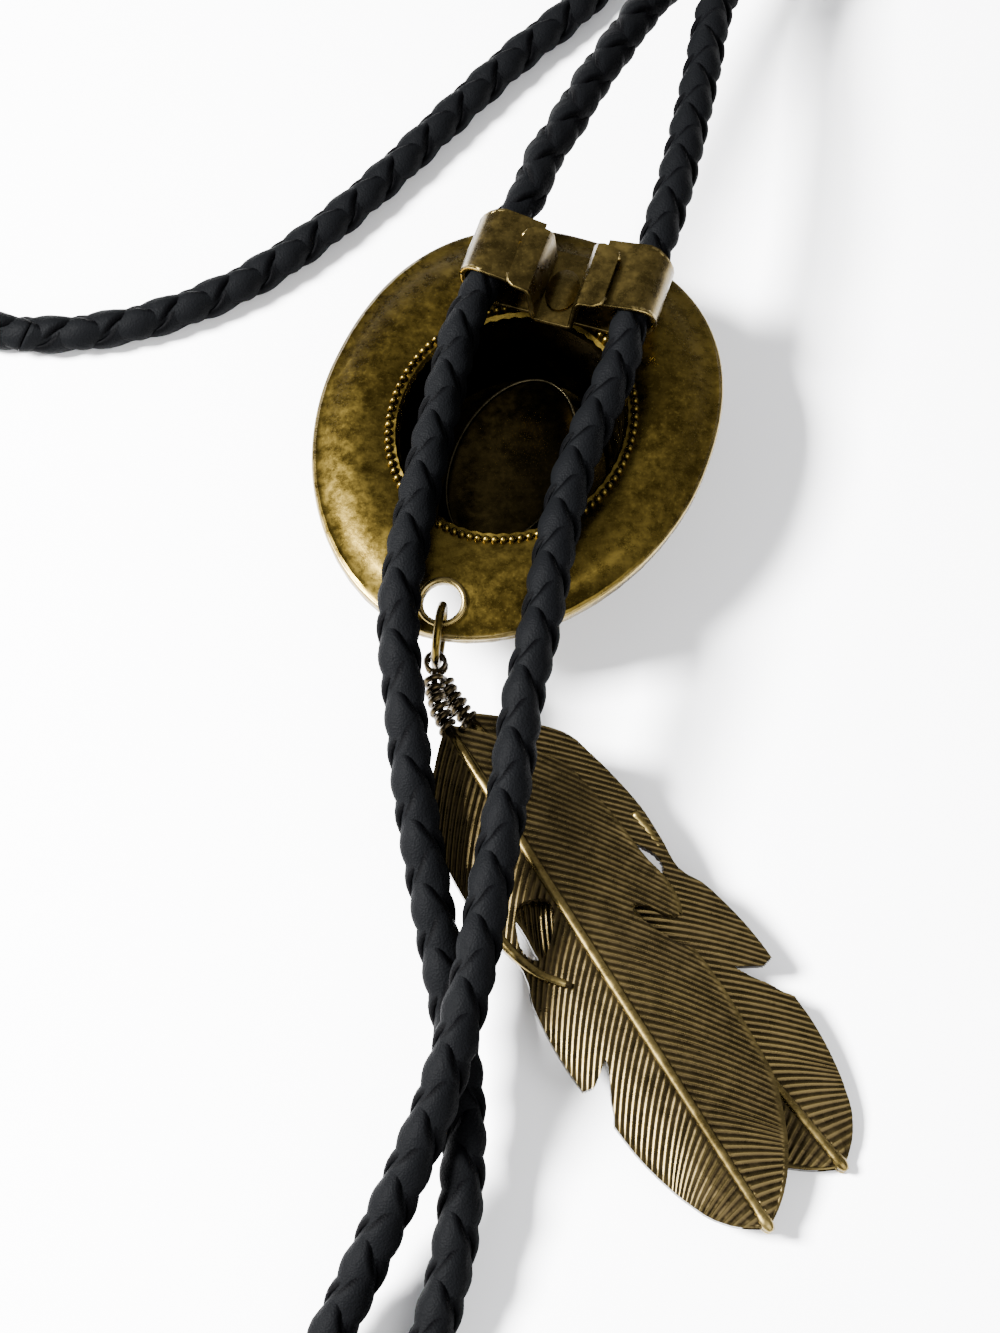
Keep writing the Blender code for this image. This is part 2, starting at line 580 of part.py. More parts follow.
def feather_matrix(pose):
    """Place of a feather, X along its quill, Y across and Z off its face, and its eye's own place."""
    centre, out = ring_frame()
    turn = math.radians(pose["on_ring"])
    eye = centre + (out * math.cos(turn) + Vector((0, 0, math.sin(turn)))) * (RING_SIZE / 2)
    flat, fall = math.radians(pose["heading"]), math.radians(pose["slope"])
    quill = Vector((math.cos(flat) * math.cos(fall), math.sin(flat) * math.cos(fall), math.sin(fall)))
    side = Vector((-math.sin(flat), math.cos(flat), 0))
    face = quill.cross(side)
    if pose["over"]:
        side, face = -side, -face
    matrix = Matrix((quill, side, face)).transposed().to_4x4()
    matrix.translation = Vector(pose["base"]) * MM
    return matrix, np.array(matrix.inverted() @ eye)


def stem_line(eye):
    """Middle of the bent stem in a feather's own frame, from its eye's wire to the first barbs."""
    share = np.linspace(0, 1, 11)[:, None]
    knee = np.array([-STEM_BEND, 0.0, 0.0])
    away = (knee - eye) / np.linalg.norm(knee - eye)
    start = eye + away * EYE_SIZE / 2
    end = np.array([BARB_PITCH * 1.2, 0.0, 0.0])
    return (1 - share) ** 2 * start + 2 * share * (1 - share) * knee + share ** 2 * end


def vane_mesh():
    """Both faces of the vane: ridged barbs that leave the quill on each side, and the raised quill."""
    rows = 2 * int(FEATHER_LONG / BARB_PITCH)
    start = np.linspace(0, FEATHER_LONG - QUILL_SIZE, rows)
    share = np.array([0.0, 0.0, 0.45, 1.0])
    fade = np.clip((FEATHER_LONG - start) / BARB_FADE, 0, 1)
    lean, bend = BARB_LEAN * fade, BARB_BEND * fade
    columns = []
    for side, table in ((-1, VANE_CURL_SIDE), (1, VANE_WIDE_SIDE)):
        low, high = np.full(rows, QUILL_SIZE / 2 * 0.5), np.full(rows, FEATHER_WIDE)
        for _ in range(40):
            mid = (low + high) / 2
            place = (start + lean * mid + bend * mid * mid) / FEATHER_LONG
            inside = (read_curve(table, 1, place) * FEATHER_WIDE > mid) & (place < 1)
            low, high = np.where(inside, mid, low), np.where(inside, high, mid)
        out = [QUILL_SIZE / 2 + (low - QUILL_SIZE / 2) * part for part in share]
        out[0] = np.zeros(rows)
        out[1] = np.minimum(QUILL_SIZE / 2 * (1 - 0.35 * start / FEATHER_LONG), low * 0.5)
        sheet = np.stack([np.column_stack([start + lean * t + bend * t * t, side * t]) for t in out], axis=1)
        columns.append(sheet)
    flat = np.concatenate([columns[0][:, :0:-1], columns[1]], axis=1)
    ridge = np.where(np.arange(rows) % 2 == 1, 1.0, -1.0)[:, None] * BARB_DEEP / 2
    profile = np.full((rows, 7), FEATHER_THICK / 2) + ridge
    profile[:, [0, 6]] = FEATHER_THICK * 0.36 + ridge[:, :1] * 0.6
    profile[:, 3] = FEATHER_THICK / 2 + QUILL_LIFT
    profile[:, [2, 4]] = FEATHER_THICK / 2
    upper = np.dstack([flat, profile])
    lower = np.dstack([flat, -profile])
    verts = np.vstack([upper.reshape(-1, 3), lower.reshape(-1, 3)])
    count, across = rows * 7, 7
    faces = []
    for i in range(rows - 1):
        for j in range(across - 1):
            a = i * across + j
            faces.append((a, a + across, a + across + 1, a + 1))
            faces.append((count + a, count + a + 1, count + a + across + 1, count + a + across))
        for j in (0, across - 1):
            a = i * across + j
            faces.append((a, a + across, count + a + across, count + a))
    for i in (0, rows - 1):
        for j in range(across - 1):
            a = i * across + j
            faces.append((a, a + 1, count + a + 1, count + a))
    return verts, faces


def vane_cutter(outline):
    """Upright prism on an outline given as shares of the feather's length and width."""
    flat = smooth_loop(np.asarray(outline) * (FEATHER_LONG, FEATHER_WIDE))
    return skin([np.column_stack([flat, np.full(len(flat), side * 3 * FEATHER_THICK)]) for side in (-1, 1)])


def smooth_loop(points):
    """A closed outline with one more point between each pair, on a smooth curve."""
    before, after, later = np.roll(points, 1, axis=0), np.roll(points, -1, axis=0), np.roll(points, -2, axis=0)
    between = (9 * (points + after) - before - later) / 16
    return np.stack([points, between], axis=1).reshape(-1, 2)


def feather(which, metal, parent):
    """One cast feather with its eye, stem, ridged vane, cuts and curled barb, set on the ring."""
    matrix, eye = feather_matrix(FEATHER_POSES[which])
    piece = add_piece("feather_" + which, *vane_mesh(), metal, parent)
    line = stem_line(eye)
    heading = line[0] - line[1]
    heading /= np.linalg.norm(heading)
    across = np.cross((0, 0, 1), heading)
    across /= np.linalg.norm(across)
    size = FEATHER_LONG, FEATHER_WIDE, FEATHER_THICK
    curl = smooth_route(np.asarray(CURL_BARB) * size, 1.6 * MM)
    taper = np.linspace(0.55, 0.36, len(curl)) * MM
    stem_size = np.linspace(STEM_SIZE, STEM_SIZE * 1.15, len(line)) / 2
    last = (FEATHER_LONG - QUILL_SIZE, 0, 0), (FEATHER_LONG, 0, 0), (FEATHER_LONG + QUILL_SIZE * 0.35, 0, 0)
    helpers = (
        ("stem", tube(line, stem_size, 8), "UNION"),
        ("eye", wire_ring(eye, EYE_SIZE / 2, EYE_WIRE, heading, across, 14, 6), "UNION"),
        ("end", tube(last, (QUILL_SIZE * 0.4, QUILL_SIZE * 0.48, QUILL_SIZE * 0.2), 8), "UNION"),
        ("hole", vane_cutter(CURL_HOLE), "DIFFERENCE"),
        ("curl_notch", vane_cutter(CURL_NOTCH), "DIFFERENCE"),
        ("wide_notch", vane_cutter(WIDE_NOTCH), "DIFFERENCE"),
        ("curl", tube(curl, taper, 6), "UNION"),
    )
    piece.matrix_local = matrix
    for name, shape, operation in helpers:
        helper = add_piece(f"{which}_{name}_guide", *shape, metal, parent)
        helper.matrix_local = matrix
        combine(piece, helper, operation)
    return piece


def wire_wrap(which, metal, parent):
    """Thin dark wire wound round a feather's stem, with both ends left sticking out."""
    matrix, eye = feather_matrix(FEATHER_POSES[which])
    line = stem_line(eye)
    place = np.concatenate([[0], np.cumsum(np.linalg.norm(np.diff(line, axis=0), axis=1))])
    first = EYE_WIRE / 2 + GAP + WRAP_WIRE
    last = place[-1] - BARB_PITCH * 1.2 - GAP - WRAP_WIRE
    steps = WRAP_TURNS * 8 + 1
    along = np.linspace(first, last, steps)
    middle = np.stack([np.interp(along, place, line[:, k]) for k in range(3)], axis=1)
    side, up = frames_along(middle)
    turn = np.linspace(0, 2 * np.pi * WRAP_TURNS, steps)[:, None]
    radius = STEM_SIZE * 1.15 / 2 + GAP + WRAP_WIRE / 2
    coil = middle + radius * (side * np.cos(turn) + up * np.sin(turn))
    lead_in = coil[0] + (coil[0] - coil[1]) * 1.8
    lead_out = coil[-1] + (coil[-1] - coil[-2]) * 2.2
    path = np.vstack([lead_in, coil, lead_out])
    piece = add_piece("wire_wrap_" + which, *tube(path, WRAP_WIRE / 2, 5), metal, parent, sharp=80.0)
    piece.matrix_local = matrix
    return piece


def cord_through(side):
    """Three points of the cord along a sleeve's axis, from its middle towards the back of the hat."""
    across, height = sleeve_axis(side)
    middle = CLIP_MIDDLE
    return [(*hat_frame(across, middle + CLIP_LONG * k, CLIP_TURN), height) for k in (0.0, 0.28, 0.56)]


def cord_piece(name, points, material, parent):
    """Round cord through its points, squeezed a little where the sleeve at its start grips it."""
    curve = bpy.data.curves.new(name, "CURVE")
    curve.dimensions = "3D"
    curve.bevel_depth = CORD_SIZE / 2
    curve.bevel_resolution = 3
    curve.use_fill_caps = True
    line = curve.splines.new("POLY")
    line.points.add(len(points) - 1)
    along = np.concatenate([[0], np.cumsum(np.linalg.norm(np.diff(points, axis=0), axis=1))])
    held = CLIP_LONG * 0.56
    for point, place, run in zip(line.points, points, along):
        loose = min(1.0, max(0.0, (run - held) / CORD_SIZE))
        point.co = (*place, 1.0)
        point.radius = GRIP + (1 - GRIP) * loose
    curve.materials.append(material)
    piece = bpy.data.objects.new(name, curve)
    bpy.context.scene.collection.objects.link(piece)
    piece.parent = parent
    return piece


def shortened(route, amount):
    """Points whose first one is moved along them, so that two cords meet with a gap."""
    route = np.array(route, dtype=float)
    route[0] += (route[1] - route[0]) / np.linalg.norm(route[1] - route[0]) * amount
    return route


def neck_points():
    """The neck loop's two stretches, each from its sleeve, which meet squarely near the view's edge."""
    step = CORD_SIZE * CORD_STEP
    out = shortened(cord_through(-1), GAP / 2)
    back = shortened(cord_through(1), GAP / 2)
    whole = smooth_route(np.vstack([out, np.array(NECK_ROUTE) * MM, back[::-1]]), CORD_SIZE / 8)
    split = int(np.argmin(np.linalg.norm(whole[:, :2] - np.array(NECK_SPLIT) * MM, axis=1)))
    heading = whole[split + 1] - whole[split - 1]
    heading /= np.linalg.norm(heading)
    stretches = []
    for sign, line in ((-1, whole[:split + 1]), (1, whole[:split - 1:-1])):
        ends = [whole[split] + heading * sign * reach for reach in (CORD_SIZE / 2, GAP / 2)]
        stretches.append(np.vstack([smooth_route(line, step)[:-1], ends]))
    return stretches


def end_points(side, free, name):
    """One free end: out of the lower mouth of its sleeve, over the brim and down to its tip."""
    across, height = sleeve_axis(side)
    held = [(*hat_frame(across, CLIP_MIDDLE - CLIP_LONG * k, CLIP_TURN), height) for k in (0.0, 0.28, 0.56)]
    entry, out = tip_place(name)
    seat = entry + out * (TIP_BORE - GAP)
    inside = entry + out * (TIP_BORE / 2)
    route = np.vstack([shortened(held, GAP / 2), np.array(free) * MM, entry, inside, seat])
    return smooth_route(route, CORD_SIZE * CORD_STEP)


def tip_place(name):
    """Mouth of a tube tip and the direction it points."""
    x, y = TIP_POINTS[name]
    turn = math.radians(TIP_TURNS[name])
    return np.array((x * MM, y * MM, TIP_CENTRE)), np.array((math.cos(turn), math.sin(turn), 0.0))


def cord_tip(name, metal, parent):
    """Tube tip: a turned cup whose bore takes the cord's end."""
    entry, out = tip_place(name)
    across, up = np.array((-out[1], out[0], 0.0)), np.array((0.0, 0.0, 1.0))
    bore = CORD_SIZE / 2 + GAP
    size = bore + TIP_WALL
    rows = [(TIP_LONG * a, size * b) for a, b in TIP_SECTION]
    rows = [(TIP_BORE, bore), (0.0, bore)] + rows
    turn = np.linspace(0, 2 * np.pi, 14, endpoint=False)
    circle = np.cos(turn)[:, None] * across + np.sin(turn)[:, None] * up
    rings = [entry + out * along + circle * radius for along, radius in rows]
    return add_piece("cord_tip_" + name, *skin(rings), metal, parent)


def stand_on_origin(root):
    """Move the whole part so that the origin is under the middle of its metal pieces."""
    bpy.context.view_layer.update()
    depsgraph = bpy.context.evaluated_depsgraph_get()
    corners = []
    for piece in bpy.context.scene.objects:
        if piece.type == "MESH" and not piece.hide_render and not piece.name.startswith("cord_"):
            shape = piece.evaluated_get(depsgraph)
            corners += [shape.matrix_world @ v.co for v in shape.data.vertices]
    corners = np.array(corners)
    low, high = corners.min(axis=0), corners.max(axis=0)
    root.location = (-(low[0] + high[0]) / 2, -(low[1] + high[1]) / 2, -low[2])


def main():
    """Build every piece of the bolo tie."""
    for thing in list(bpy.data.objects):
        bpy.data.objects.remove(thing, do_unlink=True)
    root = bpy.data.objects.new("bolo_tie", None)
    bpy.context.scene.collection.objects.link(root)
    antique = bronze("antique bronze", (0.190, 0.130, 0.035), 0.38)
    clip_metal = bronze("worn clip bronze", (0.260, 0.190, 0.060), 0.34)
    feather_metal = bronze("cast feather bronze", (0.200, 0.145, 0.050), 0.36)
    dark_wire = bronze("dark wire", (0.060, 0.042, 0.026), 0.42)
    leather = braid_black("black leather")
    hat_brim(antique, root)
    hat_crown(antique, root)
    hat_band(antique, root)
    clip_plate(clip_metal, root)
    clip_channel(clip_metal, root)
    jump_ring(dark_wire, root)
    for which in FEATHER_POSES:
        feather(which, feather_metal, root)
        wire_wrap(which, dark_wire, root)
    for name, points in zip(("left", "right"), neck_points()):
        cord_piece("cord_neck_" + name, points, leather, root)
    for name, side, free in (("left", -1, LEFT_END), ("right", 1, RIGHT_END)):
        cord_piece("cord_end_" + name, end_points(side, free, name), leather, root)
        cord_tip(name, clip_metal, root)
    stand_on_origin(root)


main()
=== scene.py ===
"""Looks of a bolo tie that lies face down: materials, braided cord, fine metal detail, floor and light.

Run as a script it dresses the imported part. Lengths are metres, +Z is up, the object's own frame.
"""

import math

import bpy
import numpy as np
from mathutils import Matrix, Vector


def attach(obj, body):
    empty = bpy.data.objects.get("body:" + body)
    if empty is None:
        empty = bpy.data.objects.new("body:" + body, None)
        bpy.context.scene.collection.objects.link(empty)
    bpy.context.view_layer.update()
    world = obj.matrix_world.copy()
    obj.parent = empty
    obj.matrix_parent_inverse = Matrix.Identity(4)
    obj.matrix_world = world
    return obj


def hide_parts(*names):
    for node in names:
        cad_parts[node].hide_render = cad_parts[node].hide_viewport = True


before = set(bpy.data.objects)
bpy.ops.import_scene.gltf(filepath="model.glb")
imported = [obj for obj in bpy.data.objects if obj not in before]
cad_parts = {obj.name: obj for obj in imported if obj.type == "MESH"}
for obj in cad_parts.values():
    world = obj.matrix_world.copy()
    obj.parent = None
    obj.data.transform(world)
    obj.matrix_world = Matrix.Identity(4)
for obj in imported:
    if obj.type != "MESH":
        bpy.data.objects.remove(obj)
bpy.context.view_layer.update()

bl_info = {
    "name": "Bolo tie looks",
    "version": (1, 0, 0),
    "blender": (4, 5, 0),
    "location": "3D View > Sidebar > Bolo tie",
    "description": "Dresses a bolo tie: braided cord, antique bronze, beads, feathers and studio light",
    "category": "Object",
}

MM = 0.001
AXIS = (-6.071 * MM, 30.244 * MM)      # the hat's axis in the object's frame
HAT_TURN = math.radians(-20.5)
CLIP_TURN = math.radians(-17.5)

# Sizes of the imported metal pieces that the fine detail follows
BRIM_WIDE, BRIM_FRONT, BRIM_BACK, BRIM_WAIST = 44.1 * MM, 27.9 * MM, 27.6 * MM, 1.2 * MM
BRIM_ROUND = {"front": 1.88, "back": 2.35}
BRIM_HEIGHT, BRIM_ARCH, BRIM_FALL = 13.6 * MM, 0.8 * MM, 1.6 * MM
OPENING_LONG = 32.0 * MM
CREASE_WIDE, CREASE_LONG, CREASE_TOP = 14.6 * MM, 25.6 * MM, 5.9 * MM
RIM_SHARE, RIM_WIDE, RIM_HIGH, RIM_UP = 0.988, 0.30 * MM, 0.52 * MM, 0.45 * MM
BEAD_COUNT, BEAD_SIZE = 92, 0.92 * MM
BEAD_RING = 13.45 * MM, 15.75 * MM, 14.15 * MM      # half-width, half-length and height
CREASE_SHARE, CREASE_WIRE, CREASE_SUNK = 0.455, 0.17 * MM, 0.10 * MM
HOLE_SIZE, HOLE_SHIFT, HOLE_ALONG = 4.3 * MM, 1.0 * MM, -24.15 * MM
COLLAR_WIRE, COLLAR_OUT, COLLAR_UP = 0.36 * MM, 0.28 * MM, 0.42 * MM
CLIP_SHIFT, CLIP_MIDDLE, CLIP_LONG, CLIP_WIDE = 0.7 * MM, 18.4 * MM, 9.0 * MM, 23.2 * MM
CLIP_SHEET, WING_DIP, SLEEVE_BEND = 0.65 * MM, 0.9 * MM, 2.65 * MM
CHANNEL_MIDDLE, CHANNEL_LONG, CHANNEL_WIDE, CHANNEL_MOUTH = 16.9 * MM, 8.9 * MM, 4.6 * MM, 6.9 * MM
CHANNEL_FLANGE, CHANNEL_FLOOR, CHANNEL_TOP = 2.1 * MM, 16.208 * MM, 21.013 * MM
SLEEVES = {"left": (-7.925 * MM, 17.908 * MM), "right": (9.325 * MM, 17.908 * MM)}
EDGE_WIRE, EDGE_INSET, CORNER_TRIM = 0.335 * MM, 0.24 * MM, 0.9 * MM

# Cord, its tips and routes; routes are millimetres from the hat's axis and above the surface
CORD_SIZE, CORD_LOW = 4.5 * MM, 2.3
CORD_STEP = 1.5 * MM                # between points of a middle line
GAP = 0.3 * MM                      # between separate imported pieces
TIP_SEATS = {"left": ((-9.6, -103.8), -109.0), "right": ((-21.0, -105.2), -117.0)}
TIP_CENTRE, TIP_BORE = 3.15 * MM, 9.0 * MM
NECK_SPLIT = (-58.2, 20.2)          # where the neck loop's two stretches meet
SEAM = 0.02 * MM                    # how far apart their braids end there
NECK_ROUTE = (
    (1.8, 27.9, 17.9), (3.5, 33.9, 17.6), (6.2, 39.1, 17.2), (9.2, 45.9, 16.6), (12.7, 52.6, 15.9),
    (16.3, 59.6, 14.9), (21.6, 67.9, 13.0), (27.4, 75.8, 10.4), (32.6, 84.2, 7.2), (35.6, 93.0, 4.3),
    (36.0, 102.0, 2.8), (34.4, 107.7, 2.3), (29.9, 111.3, 2.3), (23.9, 111.3, 2.3), (19.0, 107.7, 2.3),
    (17.2, 102.0, 2.3), (17.0, 93.4, 2.3), (15.8, 85.4, 2.3), (12.9, 77.4, 2.3), (7.8, 70.4, 2.3),
    (1.3, 63.8, 2.3), (-7.7, 53.2, 2.3), (-16.3, 42.7, 2.3), (-25.1, 33.4, 2.3), (-33.8, 26.6, 2.3),
    (-46.2, 21.3, 2.3), (-58.5, 20.2, 2.3), (-67.0, 23.0, 2.3), (-72.4, 31.4, 2.3), (-74.0, 46.0, 2.3),
    (-74.0, 74.0, 2.3), (-72.0, 99.0, 2.3), (-63.0, 120.0, 2.3), (-45.0, 133.0, 2.3),
    (-17.0, 137.8, 2.3), (13.0, 137.8, 2.3), (32.4, 133.0, 2.3), (43.4, 121.6, 2.3), (46.6, 107.4, 2.6),
    (44.2, 93.4, 4.4), (37.2, 80.0, 8.4), (29.6, 70.0, 12.2), (25.2, 60.4, 14.8), (22.9, 49.0, 16.2),
    (20.8, 38.8, 17.1), (18.9, 30.2, 17.7),
)
END_ROUTES = {
    "left": (
        (-5.2, 11.3, 17.9), (-7.4, 1.4, 17.7), (-9.2, -7.4, 17.6), (-10.9, -16.9, 17.6), (-12.0, -24.8, 17.4),
        (-12.0, -29.3, 16.9), (-11.3, -35.6, 15.4), (-10.4, -43.9, 13.4), (-9.1, -51.9, 11.3),
        (-7.7, -59.4, 9.4), (-6.1, -67.8, 7.6), (-5.1, -74.9, 6.7), (-5.0, -82.9, 5.9), (-5.8, -90.4, 4.8),
        (-7.5, -97.2, 3.8),
    ),
    "right": (
        (12.5, 6.9, 17.9), (10.2, 0.4, 17.7), (7.1, -7.4, 17.6), (4.6, -18.1, 17.6), (2.9, -27.8, 17.4),
        (1.0, -36.2, 16.6), (-0.2, -44.7, 15.4), (-2.0, -54.1, 14.0), (-3.8, -64.0, 12.9),
        (-5.9, -72.4, 12.0), (-8.2, -79.1, 10.4), (-11.2, -85.7, 8.4), (-14.6, -92.8, 6.1),
        (-18.0, -99.4, 4.2),
    ),
}
# Braid: its strands' places and thickness are shares of the cord's radius
SLOWED = 0.42                       # a strand on top turns this share slower round the cord
STRAND_OUT, STRAND_SWING, STRAND_THICK, STRAND_CURVE = 0.600, 0.165, 0.25, 0.33
STRAND_STEP, STRAND_SIDES = 0.40 * MM, 18
SLEEVE_HELD, SLEEVE_GRIP = 5.5 * MM, 0.9      # length in a sleeve, and how far it presses the braid

# Feathers: places and outlines of the vanes, as shares of length and width
FEATHER_LONG, FEATHER_WIDE, FEATHER_THICK = 61.2 * MM, 19.6 * MM, 0.8 * MM
QUILL_SIZE, QUILL_UP = 1.4 * MM, 0.44 * MM
WRAP_TURNS, WRAP_RADIUS, WRAP_WIRE = 6.0, 0.82 * MM, 0.33 * MM
STEM_KNEE, STEM_END, STEM_EYE = -3.0 * MM, 2.52 * MM, 1.05 * MM
BORDER_WIDE, BARB_HIGH = 0.55 * MM, 0.13 * MM
BARB_LEAN, BARB_BEND, BARB_FADE = 0.84, 0.039 / MM, 15.0 * MM
FEATHER_POSES = {
    "front": {"base": (-7.075, -36.109, 10.37), "heading": -58.0, "slope": -7.2, "over": False,
              "eye": (-6.788, 2.811, 0.128)},
    "back": {"base": (-5.185, -33.791, 8.526), "heading": -50.9, "slope": -7.3, "over": True,
             "eye": (-6.205, -1.166, 0.126)},
}
VANE_CURL_SIDE = (
    (0.000, 0.170), (0.055, 0.215), (0.105, 0.310), (0.140, 0.375), (0.190, 0.402), (0.255, 0.420),
    (0.330, 0.421), (0.385, 0.396), (0.450, 0.366), (0.490, 0.412), (0.535, 0.433), (0.600, 0.445),
    (0.660, 0.436), (0.735, 0.395), (0.790, 0.378), (0.850, 0.338), (0.905, 0.280), (0.950, 0.208),
    (0.982, 0.110), (1.000, 0.022),
)
VANE_WIDE_SIDE = (
    (0.000, 0.150), (0.045, 0.255), (0.110, 0.412), (0.190, 0.459), (0.250, 0.490), (0.310, 0.511),
    (0.375, 0.525), (0.430, 0.556), (0.475, 0.545), (0.530, 0.470), (0.575, 0.480), (0.625, 0.488),
    (0.680, 0.484), (0.740, 0.474), (0.800, 0.456), (0.865, 0.384), (0.910, 0.313), (0.955, 0.206),
    (0.982, 0.110), (1.000, 0.022),
)
CURL_HOLE = (
    (0.337, -0.185), (0.352, -0.060), (0.372, -0.050), (0.395, -0.085), (0.430, -0.190),
    (0.437, -0.262), (0.425, -0.305), (0.403, -0.312), (0.378, -0.285), (0.352, -0.240),
)
CURL_NOTCH = (
    (0.634, -0.245), (0.664, -0.372), (0.662, -0.520), (0.735, -0.520), (0.735, -0.392),
    (0.700, -0.340), (0.668, -0.285),
)
WIDE_NOTCH = (
    (0.435, 0.315), (0.450, 0.390), (0.474, 0.435), (0.490, 0.500), (0.500, 0.640), (0.560, 0.640),
    (0.552, 0.470), (0.505, 0.375), (0.480, 0.342), (0.455, 0.308),
)
CURL_BARB = (
    (0.320, -0.375, 0.00), (0.372, -0.372, 0.10), (0.420, -0.345, 0.35), (0.462, -0.295, 0.80),
    (0.500, -0.205, 1.15),
)


def hat_place(across, along, turn=HAT_TURN):
    """X and Y of a place on the hat or clip: turned about the hat's axis, then moved to it."""
    cos, sin = math.cos(turn), math.sin(turn)
    return AXIS[0] + across * cos - along * sin, AXIS[1] + across * sin + along * cos


def hat_points(across, along, height, turn=HAT_TURN):
    """Rows of points on the hat or clip from arrays of places and heights."""
    x, y = hat_place(np.asarray(across), np.asarray(along), turn)
    return np.stack(np.broadcast_arrays(x, y, height), axis=-1)


def grid_mesh(name, points, around=True, along=False, caps=False, keep=None, **values):
    """A sheet of quads over a grid of points, its columns joined where `around`, its rows where `along`.

    `keep` marks the quads that stay. Each further array becomes a value on the vertices.
    """
    points = np.asarray(points, dtype=float)
    rows, cols = points.shape[:2]
    i = np.arange(rows if along else rows - 1)[:, None]
    j = np.arange(cols if around else cols - 1)[None, :]
    quads = np.stack([i * cols + j, i * cols + (j + 1) % cols, (i + 1) % rows * cols + (j + 1) % cols,
                      (i + 1) % rows * cols + j], axis=-1)
    faces = (quads if keep is None else quads[keep]).reshape(-1, 4).tolist()
    if caps:
        faces.append(list(range(cols))[::-1])
        faces.append(list(range((rows - 1) * cols, rows * cols)))
    mesh = bpy.data.meshes.new(name)
    mesh.from_pydata(points.reshape(-1, 3), [], faces)
    for title, value in values.items():
        layer = mesh.attributes.new(title, "FLOAT", "POINT")
        layer.data.foreach_set("value", np.broadcast_to(value, (rows, cols)).astype(np.float32).ravel())
    mesh.polygons.foreach_set("use_smooth", np.full(len(mesh.polygons), True))
    mesh.update()
    return mesh


def joined(name, meshes):
    """Several meshes as one, with the values on their vertices."""
    parts = [bpy.data.objects.new("part", mesh) for mesh in meshes]
    for thing in bpy.context.selected_objects:
        thing.select_set(False)
    for part in parts:
        bpy.context.scene.collection.objects.link(part)
        part.select_set(True)
    bpy.context.view_layer.objects.active = parts[0]
    if len(parts) > 1:
        bpy.ops.object.join()
    mesh = parts[0].data
    mesh.name = name
    bpy.data.objects.remove(parts[0])
    return mesh


def place_piece(name, mesh, material):
    """A finished mesh as a piece of the object, riding with it."""
    piece = bpy.data.objects.new(name, mesh)
    bpy.context.scene.collection.objects.link(piece)
    mesh.materials.clear()
    mesh.materials.append(material)
    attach(piece, "root")
    return piece


def rod(name, path, wide, high=None, closed=False, sides=10, **values):
    """A round or flattened rod: at each point of the path an oval of half-sizes `wide` and `high`."""
    path = np.asarray(path, dtype=float)
    if closed:
        ahead = np.roll(path, -1, axis=0) - np.roll(path, 1, axis=0)
    else:
        ahead = np.gradient(path, axis=0)
    ahead /= np.linalg.norm(ahead, axis=1, keepdims=True)
    side = np.cross((0, 0, 1), ahead)
    flat = np.linalg.norm(side, axis=1, keepdims=True)
    side = np.where(flat > 0.05, side / np.maximum(flat, 1e-9), (1, 0, 0))
    up = np.cross(ahead, side)
    turn = np.linspace(0, 2 * np.pi, sides, endpoint=False)
    wide = np.broadcast_to(wide, len(path))[:, None, None]
    high = wide if high is None else np.broadcast_to(high, len(path))[:, None, None]
    cos, sin = np.cos(turn)[None, :, None], np.sin(turn)[None, :, None]
    points = path[:, None] + side[:, None] * cos * wide + up[:, None] * sin * high
    return grid_mesh(name, points, along=closed, caps=not closed, **values)


def torus(name, centre, first, second, radius, wire, steps=64, sides=12):
    """A ring: a circle of `radius` in the plane of two directions, with a round section of `wire`."""
    turn = np.linspace(0, 2 * np.pi, steps, endpoint=False)[:, None, None]
    bend = np.linspace(0, 2 * np.pi, sides, endpoint=False)[None, :, None]
    first, second = np.asarray(first, dtype=float), np.asarray(second, dtype=float)
    out = first * np.cos(turn) + second * np.sin(turn)
    normal = np.cross(first, second)
    points = np.asarray(centre) + out * (radius + wire * np.cos(bend)) + normal * wire * np.sin(bend)
    return grid_mesh(name, points, along=True)


def balls(name, centres, radius, around=12, rings=7):
    """Small round balls: the same globe of latitude rings set at each centre."""
    polar = np.linspace(0.02, np.pi - 0.02, rings)[:, None]
    turn = np.linspace(0, 2 * np.pi, around, endpoint=False)[None, :]
    globe = np.stack([np.sin(polar) * np.cos(turn), np.sin(polar) * np.sin(turn),
                      np.broadcast_to(-np.cos(polar), (rings, around))], axis=-1) * radius
    return joined(name, [grid_mesh("ball", globe + centre, caps=True) for centre in centres])


def smooth_route(points, spacing):
    """Even points on a centripetal Catmull-Rom curve through the route's own points."""
    points = np.asarray(points, dtype=float)
    points = np.vstack([2 * points[0] - points[1], points, 2 * points[-1] - points[-2]])
    fine = []
    for p0, p1, p2, p3 in zip(points, points[1:], points[2:], points[3:]):
        t1 = np.linalg.norm(p1 - p0) ** 0.5
        t2 = t1 + np.linalg.norm(p2 - p1) ** 0.5
        t3 = t2 + np.linalg.norm(p3 - p2) ** 0.5
        t = np.linspace(t1, t2, 24, endpoint=False)[:, None]
        a1 = (t1 - t) / t1 * p0 + t / t1 * p1
        a2 = (t2 - t) / (t2 - t1) * p1 + (t - t1) / (t2 - t1) * p2
        a3 = (t3 - t) / (t3 - t2) * p2 + (t - t2) / (t3 - t2) * p3
        b1 = (t2 - t) / t2 * a1 + t / t2 * a2
        b2 = (t3 - t) / (t3 - t1) * a2 + (t - t1) / (t3 - t1) * a3
        fine.append((t2 - t) / (t2 - t1) * b1 + (t - t1) / (t2 - t1) * b2)
    fine = np.vstack([*fine, points[-2:-1]])
    along = np.concatenate([[0], np.cumsum(np.linalg.norm(np.diff(fine, axis=0), axis=1))])
    places = np.linspace(0, along[-1], max(2, round(along[-1] / spacing)) + 1)
    return np.stack([np.interp(places, along, fine[:, k]) for k in range(3)], axis=1)


